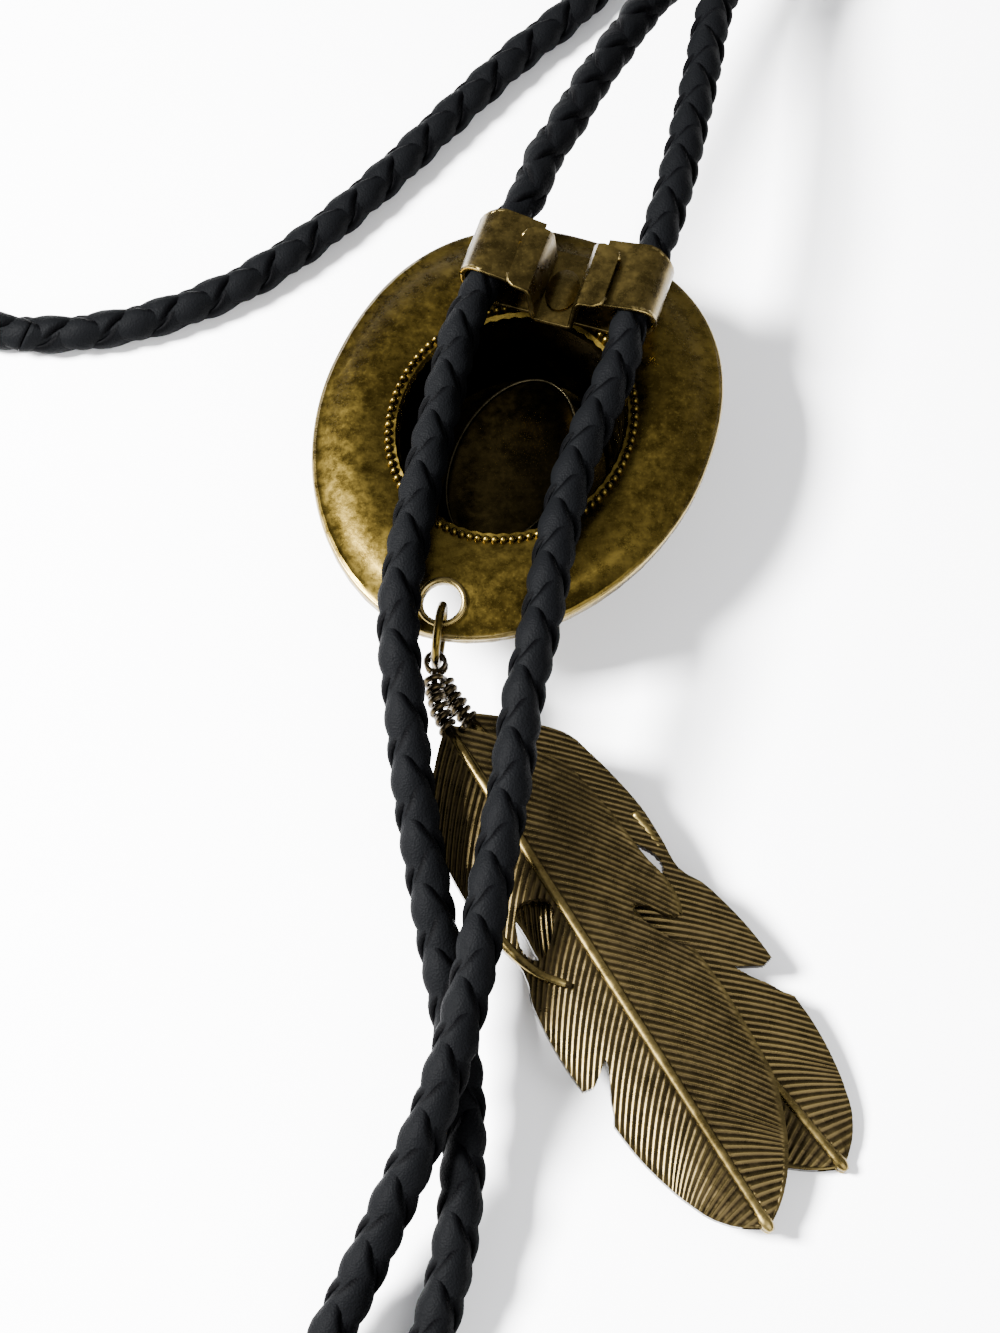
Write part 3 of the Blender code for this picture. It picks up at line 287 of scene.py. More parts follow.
def softened(path, width):
    """A path averaged over a short length with its ends kept, so that no kink shows."""
    reach = np.arange(-width, width + 1)
    weight = np.exp(-(reach / (width * 0.5)) ** 2)
    weight /= weight.sum()
    padded = np.vstack([2 * path[0] - path[width:0:-1], path, 2 * path[-1] - path[-2:-width - 2:-1]])
    return np.stack([np.convolve(padded[:, k], weight, "valid") for k in range(3)], axis=1)


def level_frames(path):
    """Side and up directions along a path, the side always level."""
    ahead = np.gradient(path, axis=0)
    ahead /= np.linalg.norm(ahead, axis=1, keepdims=True)
    side = np.cross((0, 0, 1), ahead)
    side /= np.linalg.norm(side, axis=1, keepdims=True)
    return side, np.cross(ahead, side)


def sleeve_points(side):
    """Three points along the cord in a sleeve, from its middle outwards; side 1 is towards the neck."""
    places = {}
    for name, (across, height) in SLEEVES.items():
        places[name] = [np.array((*hat_place(across, CLIP_MIDDLE + side * CLIP_LONG * k, CLIP_TURN), height))
                        for k in (0.0, 0.28, 0.56)]
    return places


def moved(route):
    """A route in millimetres from the hat's axis as points in the object's frame."""
    return [np.array((x * MM + AXIS[0], y * MM + AXIS[1], z * MM)) for x, y, z in route]


def meeting(route):
    """A route whose first point is moved along it by half a gap."""
    step = (route[1] - route[0]) / np.linalg.norm(route[1] - route[0])
    return [route[0] + step * (GAP / 2)] + list(route[1:])


def neck_path():
    """Middle line of the neck loop."""
    held = sleeve_points(1)
    route = meeting(held["left"]) + moved(NECK_ROUTE) + meeting(held["right"])[::-1]
    return softened(smooth_route(route, CORD_STEP), 3)


def end_path(name):
    """Middle line of one free end, into its tip."""
    held = sleeve_points(-1)[name]
    (x, y), turn = TIP_SEATS[name]
    out = np.array((math.cos(math.radians(turn)), math.sin(math.radians(turn)), 0.0))
    entry = np.array((x * MM + AXIS[0], y * MM + AXIS[1], TIP_CENTRE))
    seat = [entry, entry + out * TIP_BORE / 2, entry + out * (TIP_BORE - GAP)]
    return softened(smooth_route(meeting(held) + moved(END_ROUTES[name]) + seat, CORD_STEP), 3)


# Shaders

PAINTED_HIGHLIGHT = (0.27, 0.205, 0.080), (0.11, 0.08, 0.026)           # bright ground and patina of the painted highlights along edges


def node(tree, kind, inputs=None, **settings):
    """One shader node with its settings, and values or links on its inputs by name or number."""
    made = tree.nodes.new(kind)
    for key, value in settings.items():
        setattr(made, key, value)
    for key, value in (inputs or {}).items():
        if isinstance(value, bpy.types.NodeSocket):
            tree.links.new(value, made.inputs[key])
        else:
            made.inputs[key].default_value = value
    return made


def new_group(name, inputs, outputs):
    """A shader node group with its sockets, and its own input and output nodes."""
    tree = bpy.data.node_groups.new(name, "ShaderNodeTree")
    for title, kind, default in inputs:
        socket = tree.interface.new_socket(name=title, in_out="INPUT", socket_type=kind)
        if default is not None:
            socket.default_value = default
    for title, kind in outputs:
        tree.interface.new_socket(name=title, in_out="OUTPUT", socket_type=kind)
    return tree, tree.nodes.new("NodeGroupInput"), tree.nodes.new("NodeGroupOutput")


def patina_group():
    """Antique metal: blotches and fine speckles of a bright ground in a dark patina.

    The ground shows where broad noise times fine noise is high, and in dots of the finest noise. Roughness
    follows the fine noise, and relief the fine and the finest.
    """
    if "Patina" in bpy.data.node_groups:
        return bpy.data.node_groups["Patina"]
    tree, given, out = new_group(
        "Patina",
        [("Bright", "NodeSocketColor", (0.4, 0.3, 0.12, 1)),
         ("Dark", "NodeSocketColor", (0.1, 0.07, 0.02, 1)),
         ("Amount", "NodeSocketFloat", 0.5), ("Scale", "NodeSocketFloat", 1.0)],
        [("Colour", "NodeSocketColor"), ("Rough", "NodeSocketFloat"), ("Height", "NodeSocketFloat")])
    place = node(tree, "ShaderNodeTexCoord").outputs["Object"]
    sized = node(tree, "ShaderNodeVectorMath", {0: place}, operation="SCALE")
    tree.links.new(given.outputs["Scale"], sized.inputs["Scale"])
    place = sized.outputs["Vector"]
    broad, fine, speck = (
        node(tree, "ShaderNodeTexNoise",
             {"Vector": place, "Scale": scale, "Detail": detail, "Roughness": coarse})
        for scale, detail, coarse in ((90.0, 4.0, 0.6), (620.0, 5.0, 0.7), (2600.0, 3.0, 0.7)))
    blotch = node(tree, "ShaderNodeMath", {0: broad.outputs["Fac"], 1: fine.outputs["Fac"]},
                  operation="MULTIPLY")
    spread = node(tree, "ShaderNodeMapRange",
                  {"Value": blotch.outputs[0], "From Min": 0.16, "From Max": 0.36})
    dots = node(tree, "ShaderNodeMapRange",
                {"Value": speck.outputs["Fac"], "From Min": 0.56, "From Max": 0.74})
    mask = node(tree, "ShaderNodeMath", {0: spread.outputs[0], 1: dots.outputs[0]}, operation="ADD",
                use_clamp=True)
    lifted = node(tree, "ShaderNodeMath", {0: mask.outputs[0], 1: given.outputs["Amount"]},
                  operation="MULTIPLY")
    back = node(tree, "ShaderNodeMath", {0: 1.0, 1: lifted.outputs[0]}, operation="SUBTRACT", use_clamp=True)
    colour = node(tree, "ShaderNodeMix", {"Factor": back.outputs[0], "A": given.outputs["Bright"],
                                          "B": given.outputs["Dark"]}, data_type="RGBA")
    colour_socket = [s for s in colour.outputs if s.type == "RGBA"][0]
    rough = node(tree, "ShaderNodeMapRange", {"Value": fine.outputs["Fac"], "From Min": 0.3, "From Max": 0.7,
                                              "To Min": 0.22, "To Max": 0.38})
    height = node(tree, "ShaderNodeMath", {0: fine.outputs["Fac"], 1: speck.outputs["Fac"]}, operation="ADD")
    tree.links.new(colour_socket, out.inputs["Colour"])
    tree.links.new(rough.outputs[0], out.inputs["Rough"])
    tree.links.new(height.outputs[0], out.inputs["Height"])
    return tree


def metal_material(name, bright, dark, amount, bump=0.06):
    """Antique bronze from the patina group; the higher `amount`, the more of the clean ground shows."""
    made = bpy.data.materials.new(name)
    made.use_nodes = True
    tree = made.node_tree
    shader = tree.nodes["Principled BSDF"]
    shader.inputs["Metallic"].default_value = 1.0
    patina = node(tree, "ShaderNodeGroup", node_tree=patina_group())
    patina.inputs["Bright"].default_value = (*bright, 1)
    patina.inputs["Dark"].default_value = (*dark, 1)
    patina.inputs["Amount"].default_value = amount
    relief = node(tree, "ShaderNodeBump", {"Strength": bump, "Distance": 0.0002,
                                           "Height": patina.outputs["Height"]})
    tree.links.new(patina.outputs["Colour"], shader.inputs["Base Color"])
    tree.links.new(patina.outputs["Rough"], shader.inputs["Roughness"])
    tree.links.new(relief.outputs[0], shader.inputs["Normal"])
    return made


def leather_material(name, colour, edge):
    """Braided leather: near black, darkest in the gaps between strands with painted shade on the strands'
    edges, with a fine grain along them.
    """
    made = bpy.data.materials.new(name)
    made.use_nodes = True
    tree = made.node_tree
    shader = tree.nodes["Principled BSDF"]
    shader.inputs["Specular IOR Level"].default_value = 0.11
    shader.inputs["IOR"].default_value = 1.13
    run = node(tree, "ShaderNodeAttribute", attribute_name="run")
    across = node(tree, "ShaderNodeAttribute", attribute_name="across")
    rim = node(tree, "ShaderNodeAttribute", attribute_name="edge")
    strand = node(tree, "ShaderNodeCombineXYZ", {"X": run.outputs["Fac"], "Y": across.outputs["Fac"]})
    stretched = node(tree, "ShaderNodeMapping", {"Vector": strand.outputs[0], "Scale": (0.55, 2.6, 1.0)})
    fibre = node(tree, "ShaderNodeTexNoise", {"Vector": stretched.outputs[0], "Scale": 1.4, "Detail": 5.0,
                                              "Roughness": 0.65})
    place = node(tree, "ShaderNodeTexCoord").outputs["Object"]
    grain = node(tree, "ShaderNodeTexVoronoi", {"Vector": place, "Scale": 4200.0})
    blend = node(tree, "ShaderNodeMath", {0: fibre.outputs["Fac"], 1: grain.outputs["Distance"]},
                 operation="ADD")
    # painted shade: the strands' edges, in the gaps between strands, mix towards the darker edge colour
    accent = node(tree, "ShaderNodeMapRange", {"Value": rim.outputs["Fac"], "From Min": 0.45, "From Max": 0.95})
    shade = node(tree, "ShaderNodeMix", {"Factor": accent.outputs[0], "A": (*colour, 1), "B": (*edge, 1)},
                 data_type="RGBA")
    tree.links.new([s for s in shade.outputs if s.type == "RGBA"][0], shader.inputs["Base Color"])
    rough = node(tree, "ShaderNodeMapRange", {"Value": fibre.outputs["Fac"], "To Min": 0.46, "To Max": 0.70})
    tree.links.new(rough.outputs[0], shader.inputs["Roughness"])
    relief = node(tree, "ShaderNodeBump", {"Strength": 0.4, "Distance": 0.00012, "Height": blend.outputs[0]})
    tree.links.new(relief.outputs[0], shader.inputs["Normal"])
    return made


def barb_material(name):
    """Cast feather: dark patina in the recesses, worn bronze on the crests of the barbs."""
    made = metal_material(name, (0.036, 0.026, 0.012), (0.014, 0.010, 0.005), 1.0)
    tree = made.node_tree
    shader = tree.nodes["Principled BSDF"]
    crest = node(tree, "ShaderNodeAttribute", attribute_name="crest")
    place = node(tree, "ShaderNodeTexCoord").outputs["Object"]
    broad = node(tree, "ShaderNodeTexNoise", {"Vector": place, "Scale": 160.0, "Detail": 3.0})
    wear = node(tree, "ShaderNodeMapRange", {"Value": broad.outputs["Fac"], "From Min": 0.3, "From Max": 0.7,
                                             "To Min": 0.45, "To Max": 1.0})
    accent = node(tree, "ShaderNodeMath", {0: crest.outputs["Fac"], 1: wear.outputs[0]}, operation="MULTIPLY")
    base = shader.inputs["Base Color"].links[0].from_socket
    shade = node(tree, "ShaderNodeMix", {"Factor": accent.outputs[0], "A": base, "B": (0.072, 0.053, 0.019, 1)},
                 data_type="RGBA")
    tree.links.new([s for s in shade.outputs if s.type == "RGBA"][0], shader.inputs["Base Color"])
    return made


def braid(name, path, pitch, share, keep):
    """Round braid of four flat strands over a middle line, or a stretch of it from one length to another.

    Strands 0 and 2 wind one way and 1 and 3 the other, once in `pitch`. Each strand's distance from the
    middle line is a sine of twice its turn, so that it passes over one strand and under the next. A cosine
    of twice the turn is added to the turn, which slows it where the strand lies on top. Its section is a
    flat rounded oval, curved to the cord, of half-width `share` of the cord's radius.
    """
    size = CORD_SIZE / 2
    along = np.concatenate([[0], np.cumsum(np.linalg.norm(np.diff(path, axis=0), axis=1))])
    start, stop = keep or (0.0, along[-1])
    s = np.linspace(start, stop, int((stop - start) / STRAND_STEP))
    line = np.stack([np.interp(s, along, path[:, k]) for k in range(3)], axis=1)
    side, up = level_frames(line)
    free = s if name.startswith("end") else np.minimum(s, along[-1] - s)
    grip = SLEEVE_GRIP + (1 - SLEEVE_GRIP) * np.clip((free - SLEEVE_HELD) / CORD_SIZE, 0, 1)
    section = np.linspace(0, 2 * np.pi, STRAND_SIDES, endpoint=False)
    cos, sin = np.cos(section), np.sin(section)
    strands = []
    for k in range(4):
        hand = 1 if k % 2 == 0 else -1
        turn = hand * 2 * np.pi * s / pitch + (k // 2) * np.pi + (0 if hand > 0 else np.pi / 2)
        turn = turn + SLOWED / 2 * np.cos(4 * np.pi * s / pitch)
        radius = size * (STRAND_OUT + STRAND_SWING * hand * np.sin(4 * np.pi * s / pitch)) * grip
        rim = side * np.cos(turn)[:, None] + up * np.sin(turn)[:, None]
        centre = line + rim * radius[:, None]
        run = np.gradient(centre, axis=0)
        run /= np.linalg.norm(run, axis=1, keepdims=True)
        flat = np.cross(rim, run)
        flat /= np.linalg.norm(flat, axis=1, keepdims=True)
        out = np.cross(run, flat)
        wide, thick = size * share * grip[:, None, None], size * STRAND_THICK * grip[:, None, None]
        shape = (flat[:, None] * (np.sign(cos) * np.abs(cos) ** 0.70)[None, :, None] * wide
                 + out[:, None] * (np.sign(sin) * np.abs(sin) ** 0.5)[None, :, None] * thick)
        points = centre[:, None] + shape - rim[:, None] * (cos ** 2)[None, :, None] * wide * STRAND_CURVE
        # edge is near 1 at a strand's sides, where the leather's painted shade darkens it
        strands.append(grid_mesh(f"{name}_{k}", points, caps=True, edge=(np.abs(cos) ** 4)[None, :],
                                 run=(s[:, None] / MM), across=(section[None, :] / np.pi * 3.0 + k * 7.0)))
    return joined(name, strands), line


# Feathers


def feather_matrix(pose):
    """Place of a feather in the object's frame: X along its quill, Y across, Z off its face."""
    flat, fall = math.radians(pose["heading"]), math.radians(pose["slope"])
    quill = np.array((math.cos(flat) * math.cos(fall), math.sin(flat) * math.cos(fall), math.sin(fall)))
    side = np.array((-math.sin(flat), math.cos(flat), 0.0))
    face = np.cross(quill, side)
    turn = -1 if pose["over"] else 1
    origin = np.array(pose["base"]) * MM + (*AXIS, 0.0)
    return origin, np.stack([quill, side * turn, face * turn])


def stem_wrap(pose):
    """Wire wound round the stem: a helix round the bent stem, both ends left sticking out.

    The stem is a quadratic Bezier curve from the eye over a knee to the first barbs. The helix stands off
    it by the stem's own radius and the wire's, and its last points run on straight and outwards.
    """
    share = np.linspace(0, 1, 60)[:, None]
    knee, end = np.array((STEM_KNEE, 0.0, 0.0)), np.array((STEM_END, 0.0, 0.0))
    eye = np.array(pose["eye"]) * MM
    start = eye + (knee - eye) / np.linalg.norm(knee - eye) * STEM_EYE
    line = (1 - share) ** 2 * start + 2 * share * (1 - share) * knee + share ** 2 * end
    along = np.concatenate([[0], np.cumsum(np.linalg.norm(np.diff(line, axis=0), axis=1))])
    s = np.linspace(0.75 * MM, along[-1] - 1.5 * MM, 200)
    middle = np.stack([np.interp(s, along, line[:, k]) for k in range(3)], axis=1)
    ahead = np.gradient(middle, axis=0)
    ahead /= np.linalg.norm(ahead, axis=1, keepdims=True)
    side = np.cross((0, 0, 1), ahead)
    side /= np.linalg.norm(side, axis=1, keepdims=True)
    turn = np.linspace(0, 2 * np.pi * WRAP_TURNS, len(s))[:, None]
    loose = 1 + 0.10 * np.sin(turn * 0.37)
    coil = middle + WRAP_RADIUS * loose * (side * np.cos(turn) + np.cross(ahead, side) * np.sin(turn))
    first, last = coil[0] - coil[4], coil[-1] - coil[-5]
    lead = np.linspace(1, 0.1, 6)[:, None] * 1.9
    coil = np.vstack([coil[0] + first * lead, coil, coil[-1] + last * lead[::-1]])
    origin, turned = feather_matrix(pose)
    return rod("wrap", origin + coil @ turned, WRAP_WIRE, sides=8)


def read_curve(rows, at):
    """The second column of a table, read as a smooth curve over the first."""
    x, y = np.asarray(rows, dtype=float).T
    slope = np.gradient(y, x)
    i = np.clip(np.searchsorted(x, at) - 1, 0, len(x) - 2)
    step = x[i + 1] - x[i]
    u = np.clip((at - x[i]) / step, 0, 1)
    return (y[i] * (1 + 2 * u) * (1 - u) ** 2 + y[i + 1] * u * u * (3 - 2 * u)
            + step * slope[i] * u * (1 - u) ** 2 - step * slope[i + 1] * u * u * (1 - u))


def within(points, outline):
    """Which points lie inside a closed outline, by counting the edges that a ray crosses."""
    corner = np.asarray(outline) * (FEATHER_LONG, FEATHER_WIDE)
    between = (9 * (corner + np.roll(corner, -1, 0)) - np.roll(corner, 1, 0) - np.roll(corner, -2, 0)) / 16
    a = np.stack([corner, between], axis=1).reshape(-1, 2)
    b = np.roll(a, -1, axis=0)
    x, y = points[..., 0:1], points[..., 1:2]
    span = (a[:, 1] > y) != (b[:, 1] > y)
    rise = np.where(b[:, 1] == a[:, 1], 1e-12, b[:, 1] - a[:, 1])
    cross = x < (b[:, 0] - a[:, 0]) * (y - a[:, 1]) / rise + a[:, 0]
    return (span & cross).sum(axis=-1) % 2 == 1


def vane(pose, side, face, pitch):
    """One half of one face of a vane: fine barbs that leave the quill and bend along it.

    A barb starts at a place on the quill; at a distance t across it lies start + lean t + bend t squared
    along, both fading over the last stretch. Height is a raised cosine of the start over `pitch`, and it
    dies out into a plain border near the vane's outline.
    """
    start = np.arange(0.0, FEATHER_LONG, pitch / 9)
    fade = np.clip((FEATHER_LONG - start) / BARB_FADE, 0, 1)
    lean, bend = BARB_LEAN * fade, BARB_BEND * fade
    low, high = np.full(len(start), QUILL_SIZE / 4), np.full(len(start), FEATHER_WIDE)
    rows = VANE_WIDE_SIDE if side > 0 else VANE_CURL_SIDE
    for _ in range(40):
        mid = (low + high) / 2
        place = (start + lean * mid + bend * mid * mid) / FEATHER_LONG
        inside = (read_curve(rows, place) * FEATHER_WIDE > mid) & (place < 1)
        low, high = np.where(inside, mid, low), np.where(inside, high, mid)
    share = np.linspace(0, 1, 44)[None, :]
    reach = low[:, None]
    first = np.minimum(QUILL_SIZE * 0.3, reach * 0.5)
    t = first + (reach - first) * share
    crest = (0.5 + 0.5 * np.cos(2 * np.pi * start / pitch))[:, None] ** 1.3
    wobble = 0.10 * np.sin(start / (7.3 * MM))[:, None] * np.sin(share * 9.0 + side)
    crest = np.clip(crest + wobble * crest, 0, 1)
    border = np.clip((t - (reach - BORDER_WIDE)) / (0.25 * MM), 0, 1)
    border = border * (1.0 if side > 0 else 0.35) * np.clip(start / (9 * MM), 0, 1)[:, None]
    base = np.interp(share, (0, 0.45, 1), (0.475, 0.500, 0.365)) * MM
    ridge = crest * np.interp(share, (0, 0.08, 1), (0.3, 1, 0.75))
    height = base + BARB_HIGH * np.maximum(ridge, border * 0.9)
    x = start[:, None] + lean[:, None] * t + bend[:, None] * t * t
    local = np.stack([x, side * t, face * height], axis=-1)
    middle = (local[:-1, :-1] + local[1:, 1:]) / 2
    keep = ~(within(middle, CURL_HOLE) | within(middle, CURL_NOTCH) | within(middle, WIDE_NOTCH))
    crest = np.maximum(crest, border)
    if side * face > 0:
        local, crest, keep = local[:, ::-1], crest[:, ::-1], keep[:, ::-1]
    origin, turn = feather_matrix(pose)
    return grid_mesh("vane", origin + local @ turn, around=False, keep=keep, crest=crest)


# Settings


class BOLO_PG_look(bpy.types.PropertyGroup):
    """What the looks of the bolo tie can be tuned by"""

    braid_pitch: bpy.props.FloatProperty(
        name="Braid pitch", description="Length in which a strand winds once round the cord",
        default=13.4 * MM, unit="LENGTH", min=0.005, max=0.05)
    strand_width: bpy.props.FloatProperty(
        name="Strand width", description="Half-width of a strand as a share of the cord's radius",
        default=0.88, subtype="FACTOR", min=0.4, max=1.0)
    barb_pitch: bpy.props.FloatProperty(
        name="Barb pitch", description="Distance along the quill from one barb to the next",
        default=0.98 * MM, unit="LENGTH", min=0.0005, max=0.005)
    bead_size: bpy.props.FloatProperty(
        name="Bead size", description="Width of a bead at the edge of the hat's opening",
        default=BEAD_SIZE, unit="LENGTH", min=0.0005, max=0.003)
    bronze: bpy.props.FloatVectorProperty(
        name="Bronze", description="Clean ground of the hat's antique bronze",
        default=(0.106, 0.074, 0.015), subtype="COLOR", min=0.0, max=1.0)
    patina: bpy.props.FloatVectorProperty(
        name="Patina", description="Dark patina on the hat's bronze",
        default=(0.036, 0.024, 0.0045), subtype="COLOR", min=0.0, max=1.0)
    leather: bpy.props.FloatVectorProperty(
        name="Leather", description="Colour of the braided leather's strands",
        default=(0.0014, 0.0015, 0.0017), subtype="COLOR", min=0.0, max=1.0)
    key_power: bpy.props.FloatProperty(
        name="Key light", description="Power of the light from the upper left",
        default=60.0, unit="POWER", min=0.0, max=200.0)
    surround: bpy.props.FloatProperty(
        name="Surroundings", description="Brightness of the pale surroundings",
        default=0.70, min=0.0, max=10.0)


# Operators


def make_camera():
    """The photograph's own view: 62 degrees above the surface, from the feathers' side."""
    data = bpy.data.cameras.new("Camera")
    data.lens = 67.5
    data.sensor_width = 36.0
    data.clip_start, data.clip_end = 0.01, 10.0
    camera = bpy.data.objects.new("Camera", data)
    camera.location = (-0.007419, -0.124386, 0.24667)
    camera.rotation_euler = (math.radians(28.0), 0.0, 0.0)
    bpy.context.scene.collection.objects.link(camera)
    bpy.context.scene.camera = camera


class BOLO_OT_stage(bpy.types.Operator):
    """Camera, white floor, soft light from the upper left and pale surroundings"""

    bl_idname = "bolo.stage"
    bl_label = "Stage"

    def execute(self, context):
        look = context.scene.bolo_look
        make_camera()
        floor = bpy.data.materials.new("white floor")
        floor.use_nodes = True
        floor.node_tree.nodes["Principled BSDF"].inputs["Base Color"].default_value = (0.92, 0.92, 0.93, 1)
        floor.node_tree.nodes["Principled BSDF"].inputs["Roughness"].default_value = 0.7
        floor.node_tree.nodes["Principled BSDF"].inputs["Specular IOR Level"].default_value = 0.2
        half = 1.2
        mesh = bpy.data.meshes.new("floor")
        mesh.from_pydata([(-half, -half, 0), (half, -half, 0), (half, half, 0), (-half, half, 0)], [],
                         [(0, 1, 2, 3)])
        mesh.materials.append(floor)
        ground = bpy.data.objects.new("floor", mesh)
        context.scene.collection.objects.link(ground)
        lights = (
            ("key", (-0.44, -0.02, 0.43), 0.17, look.key_power),
            ("fill", (0.30, -0.40, 0.50), 0.60, look.key_power * 0.12),
        )
        for name, place, size, power in lights:
            data = bpy.data.lights.new(name, "AREA")
            data.size = size
            data.energy = power
            lamp = bpy.data.objects.new(name, data)
            lamp.location = place
            lamp.rotation_euler = (-Vector(place)).to_track_quat("-Z", "Y").to_euler()
            context.scene.collection.objects.link(lamp)
        world = bpy.data.worlds.new("studio")
        world.use_nodes = True
        world.node_tree.nodes["Background"].inputs["Color"].default_value = (0.96, 0.97, 1.0, 1)
        world.node_tree.nodes["Background"].inputs["Strength"].default_value = look.surround
        context.scene.world = world
        return {"FINISHED"}


class BOLO_OT_cord(bpy.types.Operator):
    """Braided leather cord: both stretches of the neck loop and both free ends"""

    bl_idname = "bolo.cord"
    bl_label = "Braided cord"

    def execute(self, context):
        look = context.scene.bolo_look
        # the last colour is the painted shade on the strands' edges in the gaps
        leather = leather_material("black braided leather", look.leather, (0.0003, 0.0003, 0.0004))
        neck = neck_path()
        along = np.concatenate([[0], np.cumsum(np.linalg.norm(np.diff(neck, axis=0), axis=1))])
        split = moved([(*NECK_SPLIT, CORD_LOW)])[0]
        join = along[np.argmin(np.linalg.norm(neck - split, axis=1))]
        jobs = [("neck_left", neck, (0.0, join - SEAM / 2), 1, "object", ()),
                ("neck_right", neck, (join + SEAM / 2, along[-1]), -1, "object", ())]
        for name in ("left", "right"):
            jobs.append(("end_" + name, end_path(name), None, 1, "fitting",
                         [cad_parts["cord_tip_" + name]]))
        for name, path, keep, step, far_end, tips in jobs:
            mesh, line = braid(name, path, look.braid_pitch, look.strand_width, keep)
            line = line[::step]
            piece = place_piece("braid_" + name, mesh, leather)
            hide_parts("cord_" + name)
        return {"FINISHED"}


class BOLO_OT_metal(bpy.types.Operator):
    """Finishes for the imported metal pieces, joined up so that they shade smoothly"""

    bl_idname = "bolo.metal"
    bl_label = "Metal finishes"

    def execute(self, context):
        look = context.scene.bolo_look
        finishes = {
            "antique": metal_material("antique bronze", look.bronze, look.patina, 1.0),
            "crown": metal_material("dark crown bronze", (0.019, 0.0135, 0.0042), (0.006, 0.0045, 0.0015),
                                    1.0),
            "clip": metal_material("worn clip bronze", (0.098, 0.070, 0.020), (0.040, 0.028, 0.008), 1.0),
            "feather": metal_material("feather recess", (0.030, 0.021, 0.009), (0.012, 0.009, 0.004), 1.0),
            "wire": metal_material("dark wire", (0.07, 0.055, 0.035), (0.022, 0.018, 0.012), 1.0),
        }
        given = {
            "hat_brim": "antique", "hat_crown": "crown", "hat_band": "antique", "clip_plate": "clip",
            "clip_channel": "clip", "jump_ring": "antique", "feather_front": "feather",
            "feather_back": "feather", "wire_wrap_front": "wire", "wire_wrap_back": "wire",
            "cord_tip_left": "clip", "cord_tip_right": "clip",
        }
        for name, finish in given.items():
            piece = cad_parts[name]
            piece.data.materials.clear()
            piece.data.materials.append(finishes[finish])
            piece.data.polygons.foreach_set("use_smooth", np.full(len(piece.data.polygons), True))
            weld = piece.modifiers.new("weld", "WELD")
            weld.merge_threshold = 0.00001
            if name == "jump_ring" or name.startswith("wire_wrap"):
                finer = piece.modifiers.new("finer", "SUBSURF")
                finer.levels = finer.render_levels = 1
            else:
                split = piece.modifiers.new("split", "EDGE_SPLIT")
                split.split_angle = math.radians(35)
                split.use_edge_sharp = False
        return {"FINISHED"}


def brim_level(share):
    """Height of the middle of the brim's sheet at a share of the way from opening to rim."""
    return BRIM_HEIGHT + BRIM_ARCH * 4 * share * (1 - share) - BRIM_FALL * share * share


class BOLO_OT_hat(bpy.types.Operator):
    """Bright rim, beads, edge of the crease and collar of the hole"""
    # Rim line and collar of the hole, bright with a painted highlight, beads, and edge of the crease with a
    # paler painted highlight

    bl_idname = "bolo.hat"
    bl_label = "Hat detail"

    def execute(self, context):
        look = context.scene.bolo_look
        # painted highlight: a bright bronze on the rim line and the hole's collar stands in for light caught
        # on these edges
        accent = metal_material("painted highlight edge bronze", *PAINTED_HIGHLIGHT, 0.5, bump=0.03)
        turn = np.linspace(0, 2 * np.pi, 360, endpoint=False)
        cos, sin = np.cos(turn), np.sin(turn)
        power = np.where(sin < 0, 2 / BRIM_ROUND["front"], 2 / BRIM_ROUND["back"])
        reach = np.where(sin < 0, BRIM_FRONT + BRIM_WAIST, BRIM_BACK - BRIM_WAIST)
        across = BRIM_WIDE / 2 * np.sign(cos) * np.abs(cos) ** power
        along = BRIM_WAIST + reach * np.sign(sin) * np.abs(sin) ** power
        rim = hat_points(across * RIM_SHARE, along * RIM_SHARE, brim_level(1) + RIM_UP)
        place_piece("rim_line", rod("rim_line", rim, RIM_WIDE, RIM_HIGH, closed=True, sides=12), accent)
        turn = np.linspace(0, 2 * np.pi, BEAD_COUNT, endpoint=False)
        beads = hat_points(BEAD_RING[0] * np.cos(turn), BEAD_RING[1] * np.sin(turn), BEAD_RING[2])
        place_piece("beads", balls("beads", beads, look.bead_size / 2),
                    metal_material("bead bronze", look.bronze, look.patina, 0.7, bump=0.03))
        turn = np.linspace(0, 2 * np.pi, 160, endpoint=False)
        edge = hat_points(CREASE_WIDE * CREASE_SHARE * np.cos(turn),
                          CREASE_LONG * CREASE_SHARE * np.sin(turn), CREASE_TOP - CREASE_SUNK)
        # painted highlight: the crease's edge gets a paler bronze than the dark crown round it
        faint = metal_material("crease bronze", (0.060, 0.050, 0.028), (0.02, 0.016, 0.008), 0.7, bump=0.03)
        place_piece("crease_edge", rod("crease_edge", edge, CREASE_WIRE, closed=True, sides=8), faint)
        share = (-HOLE_ALONG - OPENING_LONG / 2) / (BRIM_FRONT - OPENING_LONG / 2)
        slope = (brim_level(share + 0.01) - brim_level(share - 0.01)) / 0.02 / (BRIM_FRONT - OPENING_LONG / 2)
        front = Vector((math.sin(HAT_TURN), -math.cos(HAT_TURN), slope)).normalized()
        aside = Vector((math.cos(HAT_TURN), math.sin(HAT_TURN), 0.0))
        normal = front.cross(aside)
        normal = normal if normal.z > 0 else -normal
        centre = Vector((*hat_place(HOLE_SHIFT, HOLE_ALONG), brim_level(share))) + normal * COLLAR_UP
        collar = torus("collar", centre, aside, front, HOLE_SIZE / 2 + COLLAR_OUT, COLLAR_WIRE)
        place_piece("collar", collar, accent)
        return {"FINISHED"}


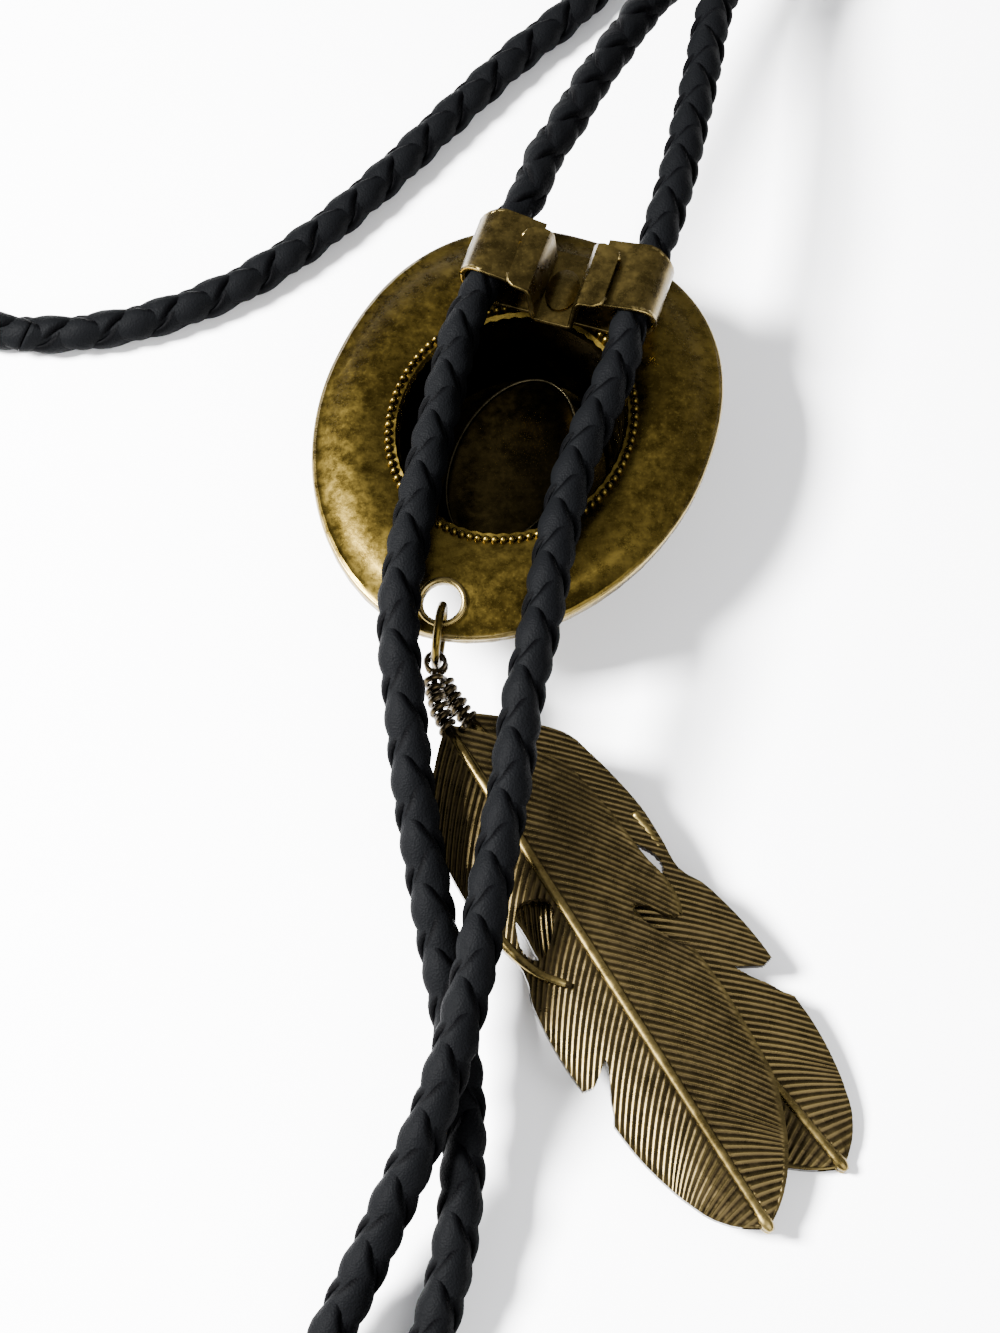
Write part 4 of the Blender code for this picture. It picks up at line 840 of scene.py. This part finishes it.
def clip_lines():
    """Middle lines of the bent sheets of the clip's plate and channel, across and height."""
    bend, base = SLEEVE_BEND, SLEEVES["left"][1]
    reach = CHANNEL_MOUTH / 2 + GAP
    top = base + bend
    left, right = SLEEVES["left"][0], SLEEVES["right"][0]

    def arc(middle, start, stop):
        """Half circle round a sleeve."""
        turn = np.radians(np.linspace(start, stop, 25))
        return [(middle + bend * math.cos(a), base + bend * math.sin(a)) for a in turn]

    plate = [(CLIP_SHIFT - reach, top - WING_DIP), ((left + CLIP_SHIFT - reach) / 2, top - WING_DIP * 0.5)]
    plate += arc(left, 90, 270)
    plate += [(CLIP_SHIFT - CHANNEL_WIDE / 2, base - bend), (CLIP_SHIFT + CHANNEL_WIDE / 2, base - bend)]
    plate += arc(right, -90, 90)
    plate += [((right + CLIP_SHIFT + reach) / 2, top - WING_DIP * 0.5), (CLIP_SHIFT + reach, top - WING_DIP)]
    foot, mouth = CHANNEL_WIDE / 2, CHANNEL_MOUTH / 2 - CLIP_SHEET
    tip = CHANNEL_MOUTH / 2 + CHANNEL_FLANGE
    half = [(0.0, CHANNEL_FLOOR), (foot - 0.5 * MM, CHANNEL_FLOOR),
            (foot - 0.1 * MM, CHANNEL_FLOOR + 0.25 * MM),
            (mouth - 0.1 * MM, CHANNEL_TOP - 0.7 * MM), (mouth + 0.25 * MM, CHANNEL_TOP - 0.15 * MM),
            (mouth + 0.7 * MM, CHANNEL_TOP), (tip - 0.9 * MM, CHANNEL_TOP), (tip - 0.27 * MM, CHANNEL_TOP),
            (tip, CHANNEL_TOP)]
    cut = np.array([0, 0, 0, 0, 0.1, 0.1, 0.25, 0.7, 1.5]) * MM
    channel = [(CLIP_SHIFT - a, z) for a, z in half[::-1]] + [(CLIP_SHIFT + a, z) for a, z in half[1:]]
    return np.array(plate), np.array(channel), np.concatenate([cut[::-1], cut[1:]])


class BOLO_OT_clip(bpy.types.Operator):
    """Painted highlights along the edges of the clip's sheet"""

    bl_idname = "bolo.clip"
    bl_label = "Clip edges"

    def execute(self, context):
        # painted highlight: bright bronze rods at both ends of the plate and channel stand in for light
        # caught on the sheet's edges
        accent = metal_material("painted highlight sheet edge", *PAINTED_HIGHLIGHT, 0.4, bump=0.03)
        plate, channel, cut = clip_lines()
        outward = np.abs(plate[:, 0] - CLIP_SHIFT) / (CLIP_WIDE / 2)
        trim = CORNER_TRIM * np.clip(outward - 0.78, 0, 1) / 0.22
        jobs = ((plate, trim, CLIP_MIDDLE, CLIP_LONG), (channel, cut, CHANNEL_MIDDLE, CHANNEL_LONG))
        rods = []
        for line, short, middle, length in jobs:
            for sign in (-1, 1):
                place = middle + sign * (length / 2 - short - EDGE_INSET)
                rods.append(rod("edge", hat_points(line[:, 0], place, line[:, 1], CLIP_TURN), EDGE_WIRE))
        place_piece("clip_edges", joined("clip_edges", rods), accent)
        return {"FINISHED"}


class BOLO_OT_feathers(bpy.types.Operator):
    """Fine barbs on both faces of both feathers, and bright quills and the curled barb in a painted highlight
    """

    bl_idname = "bolo.feathers"
    bl_label = "Feathers"

    def execute(self, context):
        look = context.scene.bolo_look
        barbs = barb_material("feather barbs")
        # painted highlight: the quills and the curled barb get a much brighter bronze than the barbs
        accent = metal_material("quill bronze", (0.19, 0.142, 0.050), (0.085, 0.060, 0.018), 0.8, bump=0.03)
        size = FEATHER_LONG, FEATHER_WIDE, FEATHER_THICK
        wire = metal_material("dark wrap wire", (0.040, 0.030, 0.014), (0.014, 0.010, 0.005), 1.0)
        for name, pose in FEATHER_POSES.items():
            place_piece("wrap_" + name, stem_wrap(pose), wire)
            halves = [vane(pose, side, face, look.barb_pitch) for side in (-1, 1) for face in (-1, 1)]
            place_piece("barbs_" + name, joined("barbs_" + name, halves), barbs)
            origin, turn = feather_matrix(pose)
            x = np.concatenate([np.linspace(1.6 * MM, FEATHER_LONG - 1.2 * MM, 60),
                                FEATHER_LONG + np.array([-0.8, -0.4, 0.0, 0.35, 0.6]) * MM])
            wide = np.interp(x / FEATHER_LONG, (0.02, 0.06, 0.6, 0.972, 0.985, 0.997, 1.004, 1.012),
                             (0.40, 0.62, 0.58, 0.50, 0.66, 0.70, 0.55, 0.20)) * MM
            rods = []
            for face in (-1, 1):
                line = np.stack([x, 0 * x, np.full_like(x, face * QUILL_UP)], axis=-1)
                rods.append(rod("quill", origin + line @ turn, wide, wide * 0.72, sides=12))
            curl = smooth_route(np.asarray(CURL_BARB) * size, 0.5 * MM)
            wide = np.interp(np.linspace(0, 1, len(curl)), (0, 0.6, 0.95, 1), (0.62, 0.55, 0.44, 0.2)) * MM
            rods.append(rod("curl", origin + curl @ turn, wide))
            place_piece("quill_" + name, joined("quill_" + name, rods), accent)
        return {"FINISHED"}


class BOLO_PT_panel(bpy.types.Panel):
    """The bolo tie's settings and its pieces, in the order in which they are made"""

    bl_idname = "BOLO_PT_panel"
    bl_label = "Bolo tie"
    bl_space_type = "VIEW_3D"
    bl_region_type = "UI"
    bl_category = "Bolo tie"

    def draw(self, context):
        look = context.scene.bolo_look
        column = self.layout.column()
        for name in ("braid_pitch", "strand_width", "barb_pitch", "bead_size", "bronze", "patina", "leather",
                     "key_power", "surround"):
            column.prop(look, name)
        for kind in STEPS:
            column.operator(kind.bl_idname)


STEPS = (BOLO_OT_stage, BOLO_OT_cord, BOLO_OT_metal, BOLO_OT_hat, BOLO_OT_clip, BOLO_OT_feathers)
CLASSES = (BOLO_PG_look, *STEPS, BOLO_PT_panel)


def register():
    """Make the settings, the operators and the panel known."""
    for kind in CLASSES:
        bpy.utils.register_class(kind)
    bpy.types.Scene.bolo_look = bpy.props.PointerProperty(type=BOLO_PG_look)


def unregister():
    """Take the settings, the operators and the panel away again."""
    del bpy.types.Scene.bolo_look
    for kind in reversed(CLASSES):
        bpy.utils.unregister_class(kind)


def main():
    """Dress the part."""
    register()
    bpy.ops.bolo.stage()
    bpy.ops.bolo.cord()
    bpy.ops.bolo.metal()
    bpy.ops.bolo.hat()
    bpy.ops.bolo.clip()
    bpy.ops.bolo.feathers()


if __name__ == "__main__":
    main()
